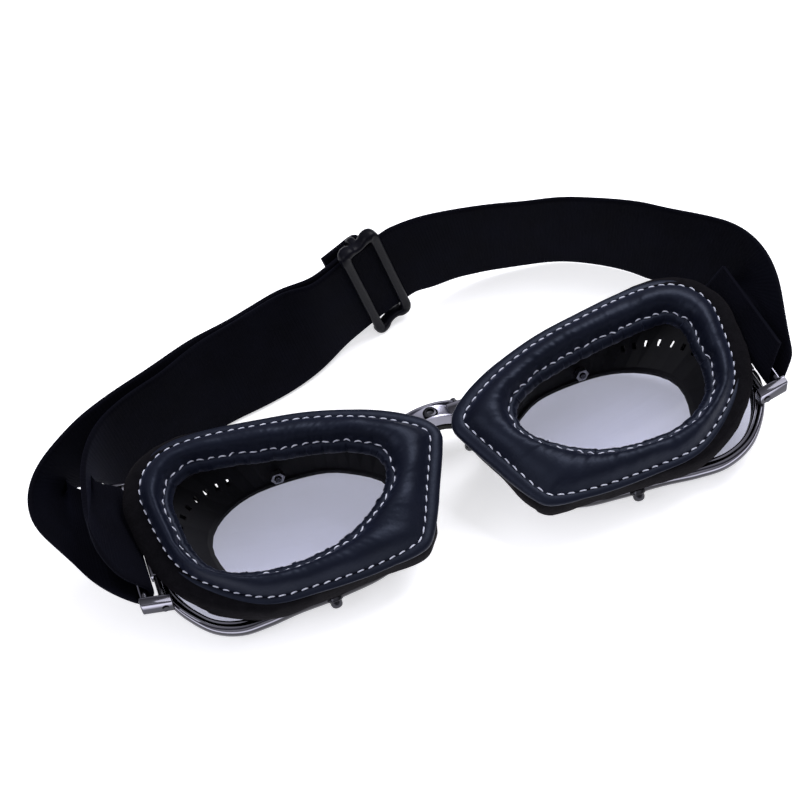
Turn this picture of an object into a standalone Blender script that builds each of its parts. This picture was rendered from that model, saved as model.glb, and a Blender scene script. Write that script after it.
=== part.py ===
"""Motorcycle goggles with two framed lenses, leather face cushions and an elastic head strap.

They lie as they are put down on a table, lenses down and cushions up.  X runs across the face,
Y towards the brow and Z up, away from the table.  Lengths are metres.  Points are worked out in
a frame whose X = 0 plane is the goggles' plane of symmetry, and the last step stands the whole
model on the origin, at the middle of the bottom of its box.
"""
import bpy
import bmesh
import math
import numpy as np
from mathutils import Matrix, Vector

# Clearances shared by every fit
GAP = 0.0003
OVERRUN = 0.004
SLIP_FIT = 0.0003
MERGE_DISTANCE = 0.000003

# Cup: one lens, its rim and the walls round one eye
RIM_CENTRE = (0.0515, -0.0035)
RIM_HALF_WIDTH = 0.0405
RIM_HALF_HEIGHT = 0.0295
RIM_HEIGHT = 0.006
RIM_WALL = 0.0009
RIM_LIP_REACH = 0.0030
RIM_EDGE_ROUND = 0.0007
LENS_THICKNESS = 0.0018
LENS_WRAP_RADIUS = 0.110
LENS_LOWEST_X = 0.045
GASKET_REACH = 0.0038
LENS_EDGE_DEPTH = 0.0021
LENS_RING_SHARES = (1.0, 0.6)

OPENING_CENTRE = (0.0465, -0.0015)
OPENING_HALF_WIDTH = 0.0275
OPENING_HALF_HEIGHT = 0.0210
CUP_FLOOR_WIDTH = 0.0022
CUP_WALL = 0.0016
CUP_FLOOR = 0.0013

# Face side, a plane tilted up towards the brow
FACE_TILT = math.radians(14.0)
FACE_LIFT = 0.0262
CUSHION_CENTRE = (0.0468, -0.00325)
CUSHION_HALF_WIDTH = 0.0420
CUSHION_HALF_HEIGHT = 0.02765
EYE_CENTRE = (0.0495, -0.0044)
EYE_HALF_WIDTH = 0.0312
EYE_HALF_HEIGHT = 0.0192
CUSHION_CROWN = 0.0042
ROLL_REACH = 0.0036
ROLL_DROP = 0.0046
FLAP_REACH = 0.0024
FLANGE_WALL = 0.0015
FLANGE_REACH = 0.0009
FLANGE_LIP_SHARE = 0.10

SUEDE = 0.0008
SUEDE_GAP = 0.0007
SUEDE_BULGE = 0.0003
SUEDE_START = 0.0046
SUEDE_BULGE_SHARE = 0.6

VENT_COUNT = 7
VENT_WIDTH = 0.0012
VENT_HEIGHT = 0.0022
VENT_FIRST = math.radians(14.0)
VENT_LAST = math.radians(52.0)
VENT_RISE = 0.0064

# Rim screws, each with a nut inside the cup
SCREW_RADIUS = 0.0010
SCREW_HEAD_RADIUS = 0.0019
SCREW_HEAD = 0.0012
SCREW_SLOT = 0.0006
HEAD_SIDE_SHARE = 0.6
HEAD_TOP_SHARE = 0.75
SLOT_DEPTH_SHARE = 0.4
NUT_RADIUS = 0.0022
NUT_HEIGHT = 0.0018
NUT_SEAT_GAP = 0.0010
SCREW_TAIL = 0.0005
BROW_SCREW_ANGLE = math.radians(84.0)
CHEEK_SCREW_ANGLE = math.radians(-90.0)
NOSE_SCREW_ANGLE = math.radians(172.0)
BROW_SCREW_RISE = 0.0046
CHEEK_SCREW_RISE = 0.0045
NOSE_SCREW_RISE = 0.0060

# Nose bridge
BRIDGE_LENGTH = 0.020
BRIDGE_FRONT = 0.0144
BRIDGE_BACK = 0.0224
BRIDGE_BOTTOM = 0.0086
BRIDGE_SHOULDER = 0.0138
BRIDGE_CROWN = 0.0172
BRIDGE_WALL = 0.0012
BRIDGE_FLOOR = 0.0014
BRIDGE_PIN_X = 0.0086
BRIDGE_PIN_Z = 0.0122
PIN_RADIUS = 0.0010
PIN_STICKS_OUT = 0.0004
TAB_REACH = 0.0095
TAB_THICKNESS = 0.0036
TAB_EDGE = 0.0004
TAB_RUNNING_GAP = 0.0015
PAD_LENGTH = 0.0130
PAD_THICKNESS = 0.0024
PAD_FRONT = 0.0112
BRIDGE_SCREW_RADIUS = 0.0012
BRIDGE_SCREW_HEAD_RADIUS = 0.0023
BRIDGE_SCREW_HEAD = 0.0012

# Strap clip at each temple
CLIP_PIN_INSET = 0.0005
CLIP_PIN_RISE = 0.0012
CLIP_NEAR = -0.0195
CLIP_FAR = 0.0262
CLIP_PLATE = 0.0012
CLIP_PLATE_HEIGHT = 0.0046
CLIP_BAR_OUT = 0.0049
CLIP_BAR_UP = 0.0025
CLIP_BAR_RADIUS = 0.0015
LUG_NEAR = -0.0085
LUG_FAR = -0.0015
LUG_HALF_WIDTH = 0.0016

# Head strap, woven elastic
STRAP_WIDTH = 0.034
STRAP = 0.0015
STRAP_EDGE = 0.0004
LAYER_SPACE = 0.0008
LOOP_LEG = 0.0060
TAIL_LEG = 0.0095
LOOP_LEAN = math.radians(42.0)
STRAP_BELLY = 0.0136
STRAP_DEPTH = 0.0825
STRAP_CENTRE_Y = 0.0072

# Slider on the strap
SLIDER_POINT = (0.0011, 0.0721, 0.0222)
SLIDER_HEADING = math.radians(18.0)
SLIDER_RISE = math.radians(13.8)
SLIDER_LEAN = math.radians(1.5)
SLANT_BEFORE = math.radians(3.5)
SLANT_AFTER = math.radians(9.5)
SLIDER_LENGTH = 0.0150
SLIDER_BAR = 0.0034
SLIDER_BAR_THICKNESS = 0.0020
SLIDER_RAIL = 0.0024
SLIDER_SIDE_ROOM = 0.0013
SLIDER_EDGE = 0.0005
MIDDLE_BAR = 0.0026
MIDDLE_BAR_THICKNESS = 0.0016
SLIDER_EAR = 0.0050
STRAIGHT_BEFORE = 0.0170
STRAIGHT_AFTER = 0.0105
STRAIGHT_LEAD = 0.0015
SLIDER_TAIL = 0.0100

RING_STEPS = 44
ROUND_STEPS = 12
FOLD_STEPS = 8
STRAP_SPACING = 0.0033

# Outlines go round from the temple, as shares of the half width and the half height
RIM_OUTLINE_SHARES = [
    (0.951, 0.186), (0.778, 0.525), (0.457, 0.847), (0.086, 1.000), (-0.284, 1.000), (-0.654, 0.830),
    (-0.926, 0.525), (-1.000, 0.119), (-0.893, -0.345), (-0.600, -0.665), (-0.220, -0.735),
    (0.110, -0.765), (0.350, -0.828), (0.556, -0.864), (0.740, -0.790), (0.880, -0.600),
    (0.965, -0.390), (1.000, -0.150)]
OPENING_OUTLINE_SHARES = [
    (1.000, -0.014), (0.945, 0.385), (0.709, 0.737), (0.382, 0.948), (-0.018, 0.995), (-0.418, 0.910),
    (-0.709, 0.667), (-0.945, 0.330), (-0.970, -0.020), (-0.810, -0.315), (-0.527, -0.590),
    (-0.164, -0.735), (0.200, -0.800), (0.600, -0.825), (0.873, -0.543)]
CUSHION_OUTLINE_SHARES = [
    (1.000, 0.385), (0.990, 0.640), (0.900, 0.860), (0.719, 0.985), (0.450, 0.989), (0.076, 0.906),
    (-0.260, 0.805), (-0.612, 0.613), (-0.870, 0.385), (-0.980, 0.215), (-0.960, 0.060),
    (-0.833, -0.360), (-0.700, -0.800), (-0.600, -0.930), (-0.307, -0.996), (0.076, -0.993),
    (0.433, -0.930), (0.760, -0.590), (0.930, -0.220)]
EYE_OUTLINE_SHARES = [
    (0.980, 0.300), (0.980, 0.720), (0.820, 1.000), (0.500, 1.000), (0.150, 0.940), (-0.300, 0.828),
    (-0.712, 0.640), (-0.965, 0.333), (-0.965, -0.135), (-0.731, -0.547), (-0.364, -0.880),
    (0.080, -1.000), (0.522, -0.917), (0.854, -0.578), (0.970, -0.120)]

# Sections through the cushion and its foam: the rail a point is on, its share of the way along that
# rail's reach, then its height as a share of the crown, less a share of the roll's drop
CUSHION_SECTION_SHARES = [
    ("roll", 1.00, 0.00, 0.56), ("roll", 0.74, 0.00, 0.20), ("roll", 0.12, 0.00, 0.11),
    ("across", 1.00, 0.00, 0.14), ("across", 0.86, 0.52, 0.00), ("across", 0.64, 0.92, 0.00),
    ("across", 0.38, 1.00, 0.00), ("across", 0.15, 0.60, 0.00), ("across", 0.00, 0.00, 0.13),
    ("flap", 0.66, 0.00, 0.35), ("flap", 1.00, 0.00, 0.78), ("flap", 0.60, 0.00, 0.91),
    ("across", 0.10, 0.00, 0.37), ("across", 0.32, 0.63, 0.00), ("across", 0.68, 0.50, 0.00),
    ("across", 0.92, 0.00, 0.20), ("roll", 0.42, 0.00, 0.51), ("roll", 0.72, 0.00, 1.00),
    ("roll", 1.05, 0.00, 0.93)]
FOAM_SECTION_SHARES = [
    ("across", 0.13, 0.00, 0.93), ("across", 0.92, 0.00, 0.93), ("across", 0.89, 0.00, 0.44),
    ("across", 0.67, 0.32, 0.00), ("across", 0.35, 0.45, 0.00), ("across", 0.16, 0.00, 0.50)]

# Strap routes: centre as shares of the span, the depth and the strap's width, then the direction
# across the strap, from its lower edge to its upper one
RIGHT_BACK_SHARES = [
    (0.169, 0.930, 0.655, -0.23, -0.05, 1.0), (0.218, 0.941, 0.636, -0.20, -0.07, 1.0),
    (0.268, 0.948, 0.609, -0.17, -0.10, 1.0),
    (0.315, 0.949, 0.583, -0.14, -0.11, 1.0), (0.364, 0.947, 0.560, -0.12, -0.13, 1.0),
    (0.429, 0.935, 0.537, -0.10, -0.14, 1.0), (0.494, 0.917, 0.521, -0.08, -0.17, 1.0),
    (0.600, 0.881, 0.506, -0.05, -0.17, 1.0), (0.682, 0.818, 0.506, -0.03, -0.16, 1.0),
    (0.745, 0.758, 0.506, 0.00, -0.14, 1.0), (0.791, 0.703, 0.506, 0.03, -0.12, 1.0),
    (0.827, 0.645, 0.506, 0.07, -0.11, 1.0)]
RIGHT_TURN_SHARES = [
    (0.827, 0.645, 0.506, 0.07, -0.11, 1.0), (0.873, 0.590, 0.509, 0.17, -0.21, 0.96),
    (0.931, 0.515, 0.540, 0.26, -0.31, 0.92), (0.975, 0.463, 0.574, 0.33, -0.44, 0.83),
    (0.998, 0.406, 0.588, 0.37, -0.58, 0.73), (0.997, 0.345, 0.620, 0.27, -0.78, 0.55),
    (0.982, 0.260, 0.680, 0.17, -0.92, 0.34), (0.972, 0.170, 0.715, 0.06, -0.99, 0.12)]
LEFT_BACK_SHARES = [
    (-0.236, 0.782, 0.516, -0.19, 0.16, 1.0), (-0.324, 0.748, 0.494, -0.15, 0.22, 1.0),
    (-0.408, 0.714, 0.496, -0.13, 0.19, 1.0), (-0.518, 0.675, 0.504, -0.12, 0.13, 1.0)]
LEFT_INNER_TURN_SHARES = [
    (-0.518, 0.675, 0.504, -0.12, 0.13, 1.0), (-0.636, 0.612, 0.500, -0.11, 0.03, 1.0),
    (-0.755, 0.560, 0.497, -0.10, -0.10, 0.99), (-0.845, 0.500, 0.494, -0.10, -0.30, 0.95),
    (-0.902, 0.418, 0.550, -0.10, -0.50, 0.86), (-0.922, 0.339, 0.650, -0.10, -0.70, 0.70),
    (-0.929, 0.255, 0.756, -0.12, -0.85, 0.52), (-0.932, 0.176, 0.842, -0.12, -0.93, 0.35),
    (-0.928, 0.115, 0.858, -0.05, -0.99, 0.15)]
LEFT_OUTER_TURN_SHARES = [
    (-0.526, 0.703, 0.509, -0.12, 0.13, 1.0), (-0.668, 0.646, 0.506, -0.11, 0.03, 1.0),
    (-0.800, 0.596, 0.500, -0.13, -0.06, 0.99), (-0.868, 0.562, 0.494, -0.18, -0.12, 0.97),
    (-0.936, 0.512, 0.491, -0.26, -0.24, 0.93), (-0.985, 0.462, 0.494, -0.38, -0.36, 0.85),
    (-1.018, 0.411, 0.503, -0.42, -0.56, 0.71), (-1.032, 0.355, 0.518, -0.35, -0.76, 0.55),
    (-1.020, 0.290, 0.545, -0.20, -0.90, 0.38), (-1.000, 0.210, 0.600, -0.10, -0.97, 0.18),
    (-0.978, 0.135, 0.650, -0.02, -1.00, 0.03)]


def remove_default_objects():
    for item in list(bpy.data.objects):
        bpy.data.objects.remove(item, do_unlink=True)


def new_collection(name):
    collection = bpy.data.collections.new(name)
    bpy.context.scene.collection.children.link(collection)
    return collection


def new_material(name, colour, roughness, metallic=0.0, transmission=0.0):
    material = bpy.data.materials.new(name)
    material.use_nodes = True
    shader = material.node_tree.nodes["Principled BSDF"]
    shader.inputs["Base Color"].default_value = (*colour, 1.0)
    shader.inputs["Roughness"].default_value = roughness
    shader.inputs["Metallic"].default_value = metallic
    shader.inputs["Transmission Weight"].default_value = transmission
    return material


def smooth_round(points, count_each=8):
    """A closed Catmull-Rom curve through the points, as a dense list."""
    path = []
    total = len(points)
    for index in range(total):
        before, start, end, after = (np.array(points[(index + step) % total]) for step in (-1, 0, 1, 2))
        for part in range(count_each):
            path.append(eased_point(start, end, (end - before) / 2, (after - start) / 2, part / count_each))
    return np.array(path)


def eased_point(start, end, leaving, arriving, share):
    """A point of the cubic from start to end that leaves and arrives with the given slopes."""
    return (start * (2 * share ** 3 - 3 * share ** 2 + 1) + leaving * (share ** 3 - 2 * share ** 2 + share)
            + end * (3 * share ** 2 - 2 * share ** 3) + arriving * (share ** 3 - share ** 2))


def smooth_line(stations, spacing):
    """An open curve through the stations, ends included, whose slopes allow for uneven distances."""
    rows = [np.array(station, dtype=float) for station in stations]
    reaches = [np.linalg.norm((after - before)[:3]) for before, after in zip(rows, rows[1:])]
    slopes = [(after - before) / reach for before, after, reach in zip(rows, rows[1:], reaches)]
    tangents = [slopes[0]]
    for index in range(1, len(slopes)):
        before, after = reaches[index - 1], reaches[index]
        tangents.append((slopes[index - 1] * after + slopes[index] * before) / (before + after))
    tangents.append(slopes[-1])
    path = []
    for index, reach in enumerate(reaches):
        count = max(round(reach / spacing), 1)
        leaving, arriving = tangents[index] * reach, tangents[index + 1] * reach
        for part in range(count):
            path.append(eased_point(rows[index], rows[index + 1], leaving, arriving, part / count))
    path.append(rows[-1])
    return path


def outline(shares, centre, half_width, half_height, steps):
    """Points of an outline at even angles round its centre."""
    dense = smooth_round([(x * half_width, y * half_height) for x, y in shares])
    angles = np.arctan2(dense[:, 1], dense[:, 0])
    order = np.argsort(angles)
    reach = np.hypot(dense[:, 0], dense[:, 1])
    points = []
    for step in range(steps):
        angle = 2 * math.pi * step / steps
        radius = np.interp(angle, angles[order], reach[order], period=2 * math.pi)
        points.append(Vector((centre[0] + radius * math.cos(angle), centre[1] + radius * math.sin(angle))))
    return points


def offset(points, distance):
    """The closed outline moved outwards by a distance, along its own normals."""
    moved = []
    total = len(points)
    for index in range(total):
        along = (points[(index + 1) % total] - points[index - 1]).normalized()
        moved.append(points[index] + Vector((along.y, -along.x)) * distance)
    return moved


def lens_height(x):
    """Height of the middle of the lens, which wraps round the face."""
    return RIM_HEIGHT / 2 + GAP + (x - LENS_LOWEST_X) ** 2 / (2 * LENS_WRAP_RADIUS)


def on_lens(point, height):
    return Vector((point.x, point.y, lens_height(point.x) + height))


def on_face(point, height):
    """A point of the tilted face plane, at a height above it."""
    lean = Matrix.Rotation(FACE_TILT, 3, "X")
    return lean @ Vector((point.x, point.y, height)) + Vector((0, 0, FACE_LIFT))


def join_rows(mesh, row, following):
    """Skin two closed rows of points with triangles that all lean the same way."""
    width = len(row)
    for place in range(width):
        beside = (place + 1) % width
        mesh.faces.new((row[place], row[beside], following[beside]))
        mesh.faces.new((row[place], following[beside], following[place]))


def ring_mesh(sections):
    """A closed ring from equal closed sections, one at each step round it."""
    mesh = bmesh.new()
    rows = [[mesh.verts.new(point) for point in section] for section in sections]
    for row, following in zip(rows, rows[1:] + rows[:1]):
        join_rows(mesh, row, following)
    return mesh


def bar_mesh(sections):
    """A solid from equal closed sections in a row, with flat ends."""
    mesh = bmesh.new()
    rows = [[mesh.verts.new(point) for point in section] for section in sections]
    for row, following in zip(rows, rows[1:]):
        join_rows(mesh, row, following)
    mesh.faces.new(rows[0])
    mesh.faces.new(rows[-1])
    return mesh


def turned_mesh(profile, base, axis, steps=ROUND_STEPS):
    """A turned solid: the profile's (radius, height) points spun about an axis at a base point."""
    mesh = bmesh.new()
    verts = [mesh.verts.new((radius, 0, height)) for radius, height in profile]
    edges = [mesh.edges.new(pair) for pair in zip(verts, verts[1:])]
    bmesh.ops.spin(mesh, geom=verts + edges, angle=2 * math.pi, steps=steps, axis=(0, 0, 1), cent=(0, 0, 0))
    bmesh.ops.remove_doubles(mesh, verts=mesh.verts, dist=MERGE_DISTANCE)
    turn = Vector((0, 0, 1)).rotation_difference(Vector(axis)).to_matrix().to_4x4()
    bmesh.ops.transform(mesh, matrix=Matrix.Translation(base) @ turn, verts=mesh.verts)
    return mesh


def block_mesh(low, high, turn=None):
    """A box between two corners; turn, when given, is the frame that the corners are in."""
    mesh = bmesh.new()
    bmesh.ops.create_cube(mesh, size=1)
    low, high = Vector(low), Vector(high)
    place = Matrix.Translation((low + high) / 2) @ Matrix.Diagonal((*(high - low), 1))
    bmesh.ops.transform(mesh, matrix=(turn or Matrix()) @ place, verts=mesh.verts)
    return mesh


def rod_mesh(start, end, radius, steps=ROUND_STEPS):
    start, end = Vector(start), Vector(end)
    length = (end - start).length
    return turned_mesh([(0, 0), (radius, 0), (radius, length), (0, length)], start, end - start, steps)


def mirrored(mesh):
    """The same solid on the other side of the plane of symmetry."""
    copy = mesh.copy()
    bmesh.ops.scale(copy, vec=(-1, 1, 1), verts=copy.verts)
    return copy


class Builder:
    """Makes the named objects of one model, on the empties that carry them."""

    def __init__(self):
        self.parts = new_collection("motorcycle_goggles")
        self.cutters = new_collection("cutters")
        self.pivots = {}

    def pivot(self, name, place, parent=None):
        empty = bpy.data.objects.new(f"{name}_pivot", None)
        self.parts.objects.link(empty)
        empty.parent = self.pivots.get(parent)
        base = self.pivots[parent]["place"] if parent else (0, 0, 0)
        empty.location = Vector(place) - Vector(base)
        empty["place"] = tuple(place)
        self.pivots[name] = empty

    def part(self, name, mesh, material, pivot, smooth=True):
        bmesh.ops.recalc_face_normals(mesh, faces=mesh.faces)
        empty = self.pivots[pivot]
        bmesh.ops.translate(mesh, vec=-Vector(empty["place"]), verts=mesh.verts)
        data = bpy.data.meshes.new(name)
        mesh.to_mesh(data)
        mesh.free()
        data.materials.append(material)
        if smooth:
            data.shade_smooth()
            data.set_sharp_from_angle(angle=math.radians(40.0))
        item = bpy.data.objects.new(name, data)
        self.parts.objects.link(item)
        item.parent = empty
        return item

    def combine(self, item, name, mesh, operation="DIFFERENCE"):
        """Cut a helper solid out of an object, or join it on."""
        bmesh.ops.recalc_face_normals(mesh, faces=mesh.faces)
        bmesh.ops.translate(mesh, vec=-Vector(item.parent["place"]), verts=mesh.verts)
        data = bpy.data.meshes.new(name)
        mesh.to_mesh(data)
        mesh.free()
        helper = bpy.data.objects.new(name, data)
        self.cutters.objects.link(helper)
        helper.parent = item.parent
        helper.hide_render = True
        helper.display_type = "WIRE"
        modifier = item.modifiers.new(name, "BOOLEAN")
        modifier.operation = operation
        modifier.object = helper


def cup_rails(steps):
    """Outlines that the cup's parts share, at the same number of steps."""
    opening = outline(OPENING_OUTLINE_SHARES, OPENING_CENTRE, OPENING_HALF_WIDTH, OPENING_HALF_HEIGHT, steps)
    seam = outline(CUSHION_OUTLINE_SHARES, CUSHION_CENTRE, CUSHION_HALF_WIDTH, CUSHION_HALF_HEIGHT, steps)
    eye = outline(EYE_OUTLINE_SHARES, EYE_CENTRE, EYE_HALF_WIDTH, EYE_HALF_HEIGHT, steps)
    return opening, seam, eye


def across(eye_point, seam_point, share):
    """A point between the inner seam and the outer one."""
    return eye_point.lerp(seam_point, share)


def cup_base_height():
    return LENS_THICKNESS / 2 + GAP


def clip_pin():
    """X and Z of the clip's pin, over the rim's temple end."""
    x = RIM_CENTRE[0] + RIM_HALF_WIDTH - CLIP_PIN_INSET
    return x, lens_height(x) + RIM_HEIGHT / 2 + CLIP_PIN_RISE


def clip_bar():
    """X and Z of the clip's bar."""
    x, z = clip_pin()
    return x + CLIP_BAR_OUT, z + CLIP_BAR_UP


def tab_end():
    return RIM_CENTRE[0] - RIM_HALF_WIDTH + TAB_REACH


def strap_span():
    """Half the width of the strap's loop, which swings out past the clips."""
    return clip_bar()[0] + STRAP_BELLY


def wall_line(steps):
    """Foot and top of the cup wall's outer face, and the way out from it, at each step."""
    opening, seam, _eye = cup_rails(steps)
    foot = [on_lens(point, cup_base_height()) for point in offset(opening, CUP_FLOOR_WIDTH)]
    top = [on_face(point, -ROLL_DROP - FLANGE_WALL) for point in offset(seam, FLANGE_REACH)]
    outward = []
    for step in range(steps):
        along = foot[(step + 1) % steps] + top[(step + 1) % steps] - foot[step - 1] - top[step - 1]
        outward.append(along.cross(top[step] - foot[step]).normalized())
    return foot, top, outward


def wall_place(angle, rise):
    """A point on the cup wall's outer face at a height above its foot, and the way out."""
    foot, top, outward = wall_line(RING_STEPS)
    place = angle / (2 * math.pi) * RING_STEPS
    step = math.floor(place) % RING_STEPS
    share = place - math.floor(place)
    low, high, out = (line[step].lerp(line[(step + 1) % RING_STEPS], share) for line in (foot, top, outward))
    return low.lerp(high, rise / (high.z - low.z)), out.normalized()


def rim_mesh():
    edge = outline(RIM_OUTLINE_SHARES, RIM_CENTRE, RIM_HALF_WIDTH, RIM_HALF_HEIGHT, RING_STEPS)
    half = RIM_HEIGHT / 2
    inside = half - RIM_WALL
    profile = [(0, -half + RIM_EDGE_ROUND), (RIM_EDGE_ROUND, -half), (RIM_LIP_REACH, -half),
               (RIM_LIP_REACH, -inside), (RIM_WALL, -inside), (RIM_WALL, inside), (RIM_LIP_REACH, inside),
               (RIM_LIP_REACH, half), (RIM_EDGE_ROUND, half), (0, half - RIM_EDGE_ROUND)]
    rails = [offset(edge, -depth) for depth, _height in profile]
    return ring_mesh([[on_lens(rail[step], height) for rail, (_depth, height) in zip(rails, profile)]
                      for step in range(RING_STEPS)])


def gasket_mesh():
    edge = outline(RIM_OUTLINE_SHARES, RIM_CENTRE, RIM_HALF_WIDTH, RIM_HALF_HEIGHT, RING_STEPS)
    outer = RIM_HEIGHT / 2 - RIM_WALL - GAP
    slot = LENS_THICKNESS / 2 + GAP
    floor = LENS_EDGE_DEPTH - GAP
    profile = [(RIM_WALL + GAP, -outer), (GASKET_REACH, -outer), (GASKET_REACH, -slot), (floor, -slot),
               (floor, slot), (GASKET_REACH, slot), (GASKET_REACH, outer), (RIM_WALL + GAP, outer)]
    rails = [offset(edge, -depth) for depth, _height in profile]
    return ring_mesh([[on_lens(rail[step], height) for rail, (_depth, height) in zip(rails, profile)]
                      for step in range(RING_STEPS)])


def lens_mesh():
    edge = outline(RIM_OUTLINE_SHARES, RIM_CENTRE, RIM_HALF_WIDTH, RIM_HALF_HEIGHT, RING_STEPS)
    edge = offset(edge, -LENS_EDGE_DEPTH)
    middle = Vector(RIM_CENTRE)
    mesh = bmesh.new()
    sides = []
    for height in (-LENS_THICKNESS / 2, LENS_THICKNESS / 2):
        rows = []
        for share in LENS_RING_SHARES:
            rows.append([mesh.verts.new(on_lens(middle.lerp(point, share), height)) for point in edge])
        hub = mesh.verts.new(on_lens(middle, height))
        sides.append(rows[0])
        for step in range(RING_STEPS):
            following = (step + 1) % RING_STEPS
            for outer, inner in zip(rows, rows[1:]):
                mesh.faces.new((outer[step], outer[following], inner[following], inner[step]))
            mesh.faces.new((rows[-1][step], rows[-1][following], hub))
    low, high = sides
    for step in range(RING_STEPS):
        following = (step + 1) % RING_STEPS
        mesh.faces.new((low[step], low[following], high[following], high[step]))
    return mesh


def cup_mesh():
    opening, seam, eye = cup_rails(RING_STEPS)
    foot, top, outward = wall_line(RING_STEPS)
    base = cup_base_height()
    flange_edge = offset(seam, FLANGE_REACH)
    flange_top = -ROLL_DROP
    sections = []
    for step in range(RING_STEPS):
        lip = across(eye[step], seam[step], FLANGE_LIP_SHARE)
        height = top[step].z - foot[step].z
        inwards = -outward[step] * CUP_WALL
        inner_foot = foot[step].lerp(top[step], max(CUP_FLOOR - inwards.z, 0) / height) + inwards
        inner_top = foot[step].lerp(top[step], 1 - (inwards.z + GAP) / height) + inwards
        sections.append([
            on_lens(opening[step], base), foot[step], top[step], on_face(flange_edge[step], flange_top),
            on_face(lip, flange_top), on_face(lip, flange_top - FLANGE_WALL + GAP), inner_top, inner_foot,
            on_lens(opening[step], base + CUP_FLOOR)])
    return ring_mesh(sections)


def side_wall_mesh():
    _opening, seam, _eye = cup_rails(RING_STEPS)
    foot, top, outward = wall_line(RING_STEPS)
    shoulder_in = offset(seam, FLANGE_REACH + SUEDE_GAP)
    shoulder_out = offset(seam, FLANGE_REACH + SUEDE_GAP + SUEDE)
    sections = []
    for step in range(RING_STEPS):
        start = foot[step].lerp(top[step], SUEDE_START / (top[step].z - foot[step].z))
        middle = foot[step].lerp(top[step], SUEDE_BULGE_SHARE)
        out = outward[step]
        sections.append([
            start + out * SUEDE_GAP, top[step] + out * SUEDE_GAP,
            on_face(shoulder_in[step], -ROLL_DROP - GAP), on_face(shoulder_out[step], -ROLL_DROP - GAP),
            top[step] + out * (SUEDE_GAP + SUEDE),
            middle + out * (SUEDE_GAP + SUEDE + SUEDE_BULGE), start + out * (SUEDE_GAP + SUEDE)])
    return ring_mesh(sections)


def section_rail(seam, eye, rail, share):
    """The outline that one point of a cushion section follows."""
    if rail == "roll":
        return offset(seam, ROLL_REACH * share)
    if rail == "flap":
        return offset(eye, -FLAP_REACH * share)
    return [inner.lerp(outer, share) for inner, outer in zip(eye, seam)]


def padded_mesh(section_shares):
    """A ring on the face plane whose section is given by a table of shares."""
    _opening, seam, eye = cup_rails(RING_STEPS)
    rails = []
    for rail, share, crown_share, drop_share in section_shares:
        height = CUSHION_CROWN * crown_share - ROLL_DROP * drop_share
        rails.append([on_face(point, height) for point in section_rail(seam, eye, rail, share)])
    return ring_mesh([list(section) for section in zip(*rails)])


def screw_mesh(place, out, grip, head_radius=SCREW_HEAD_RADIUS, head=SCREW_HEAD, radius=SCREW_RADIUS):
    """A pan-head screw: its head's seat is at the place, and grip is how far the shank goes in."""
    profile = [(0, -grip), (radius, -grip), (radius, 0), (head_radius, 0),
               (head_radius, head * HEAD_SIDE_SHARE), (head_radius * HEAD_TOP_SHARE, head), (0, head)]
    return turned_mesh(profile, place, out)


def slot_mesh(place, out, head_radius, head, width=SCREW_SLOT):
    turn = Vector((0, 0, 1)).rotation_difference(out).to_matrix().to_4x4()
    frame = Matrix.Translation(place + out * head) @ turn
    depth = head * SLOT_DEPTH_SHARE
    reach = head_radius + width
    return block_mesh((-reach, -width / 2, -depth), (reach, width / 2, head), frame)


def nut_mesh(place, out, height=NUT_HEIGHT):
    """A hexagon nut whose seat is at the place, running inwards from it."""
    bore = SCREW_RADIUS + SLIP_FIT
    profile = [(bore, 0), (NUT_RADIUS, 0), (NUT_RADIUS, height), (bore, height), (bore, 0)]
    return turned_mesh(profile, place, -out, steps=6)


def pin_hole(place, out, radius, depth):
    return rod_mesh(place + out * depth, place - out * depth, radius)


def vent_places():
    for index in range(VENT_COUNT):
        angle = VENT_FIRST + (VENT_LAST - VENT_FIRST) * index / (VENT_COUNT - 1)
        yield wall_place(angle, VENT_RISE)


def vent_mesh(place, out):
    """One vent slot's cutter, square to the wall."""
    across_wall = Vector((0, 0, 1)).cross(out).normalized()
    up_wall = out.cross(across_wall)
    frame = Matrix((across_wall, up_wall, out)).transposed().to_4x4()
    frame.translation = place
    low = (-VENT_WIDTH / 2, -VENT_HEIGHT / 2, -CUP_WALL - OVERRUN / 2)
    high = (VENT_WIDTH / 2, VENT_HEIGHT / 2, SUEDE + OVERRUN / 2)
    return block_mesh(low, high, frame)


def tab_mesh():
    """The rim's tongue, which enters the bridge and takes its hinge pin."""
    inner = BRIDGE_PIN_X - PIN_RADIUS - SLIP_FIT - TAB_THICKNESS / 2
    low = (inner, BRIDGE_FRONT + BRIDGE_WALL + GAP, BRIDGE_PIN_Z - TAB_THICKNESS / 2)
    high = (tab_end() - TAB_EDGE, BRIDGE_BACK - BRIDGE_WALL - GAP, BRIDGE_PIN_Z + TAB_THICKNESS / 2)
    return block_mesh(low, high)


def tab_foot_mesh():
    """The block that joins the tongue to the rim, outside the bridge."""
    foot = lens_height(tab_end()) + RIM_HEIGHT / 2 - RIM_WALL / 2
    low = (BRIDGE_LENGTH / 2 + TAB_RUNNING_GAP, BRIDGE_FRONT + BRIDGE_WALL + GAP - TAB_EDGE, foot)
    top = BRIDGE_PIN_Z + TAB_THICKNESS / 2 - TAB_EDGE
    high = (tab_end(), BRIDGE_BACK - BRIDGE_WALL - GAP + TAB_EDGE, top)
    return block_mesh(low, high)


def lug_mesh():
    """The block on the rim's temple end that carries the clip's pin."""
    pin_x, pin_z = clip_pin()
    foot = lens_height(pin_x) + RIM_HEIGHT / 2 - RIM_WALL / 2
    low = (pin_x - LUG_HALF_WIDTH, LUG_NEAR, foot)
    high = (pin_x + LUG_HALF_WIDTH, LUG_FAR, pin_z + LUG_HALF_WIDTH)
    return block_mesh(low, high)


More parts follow.
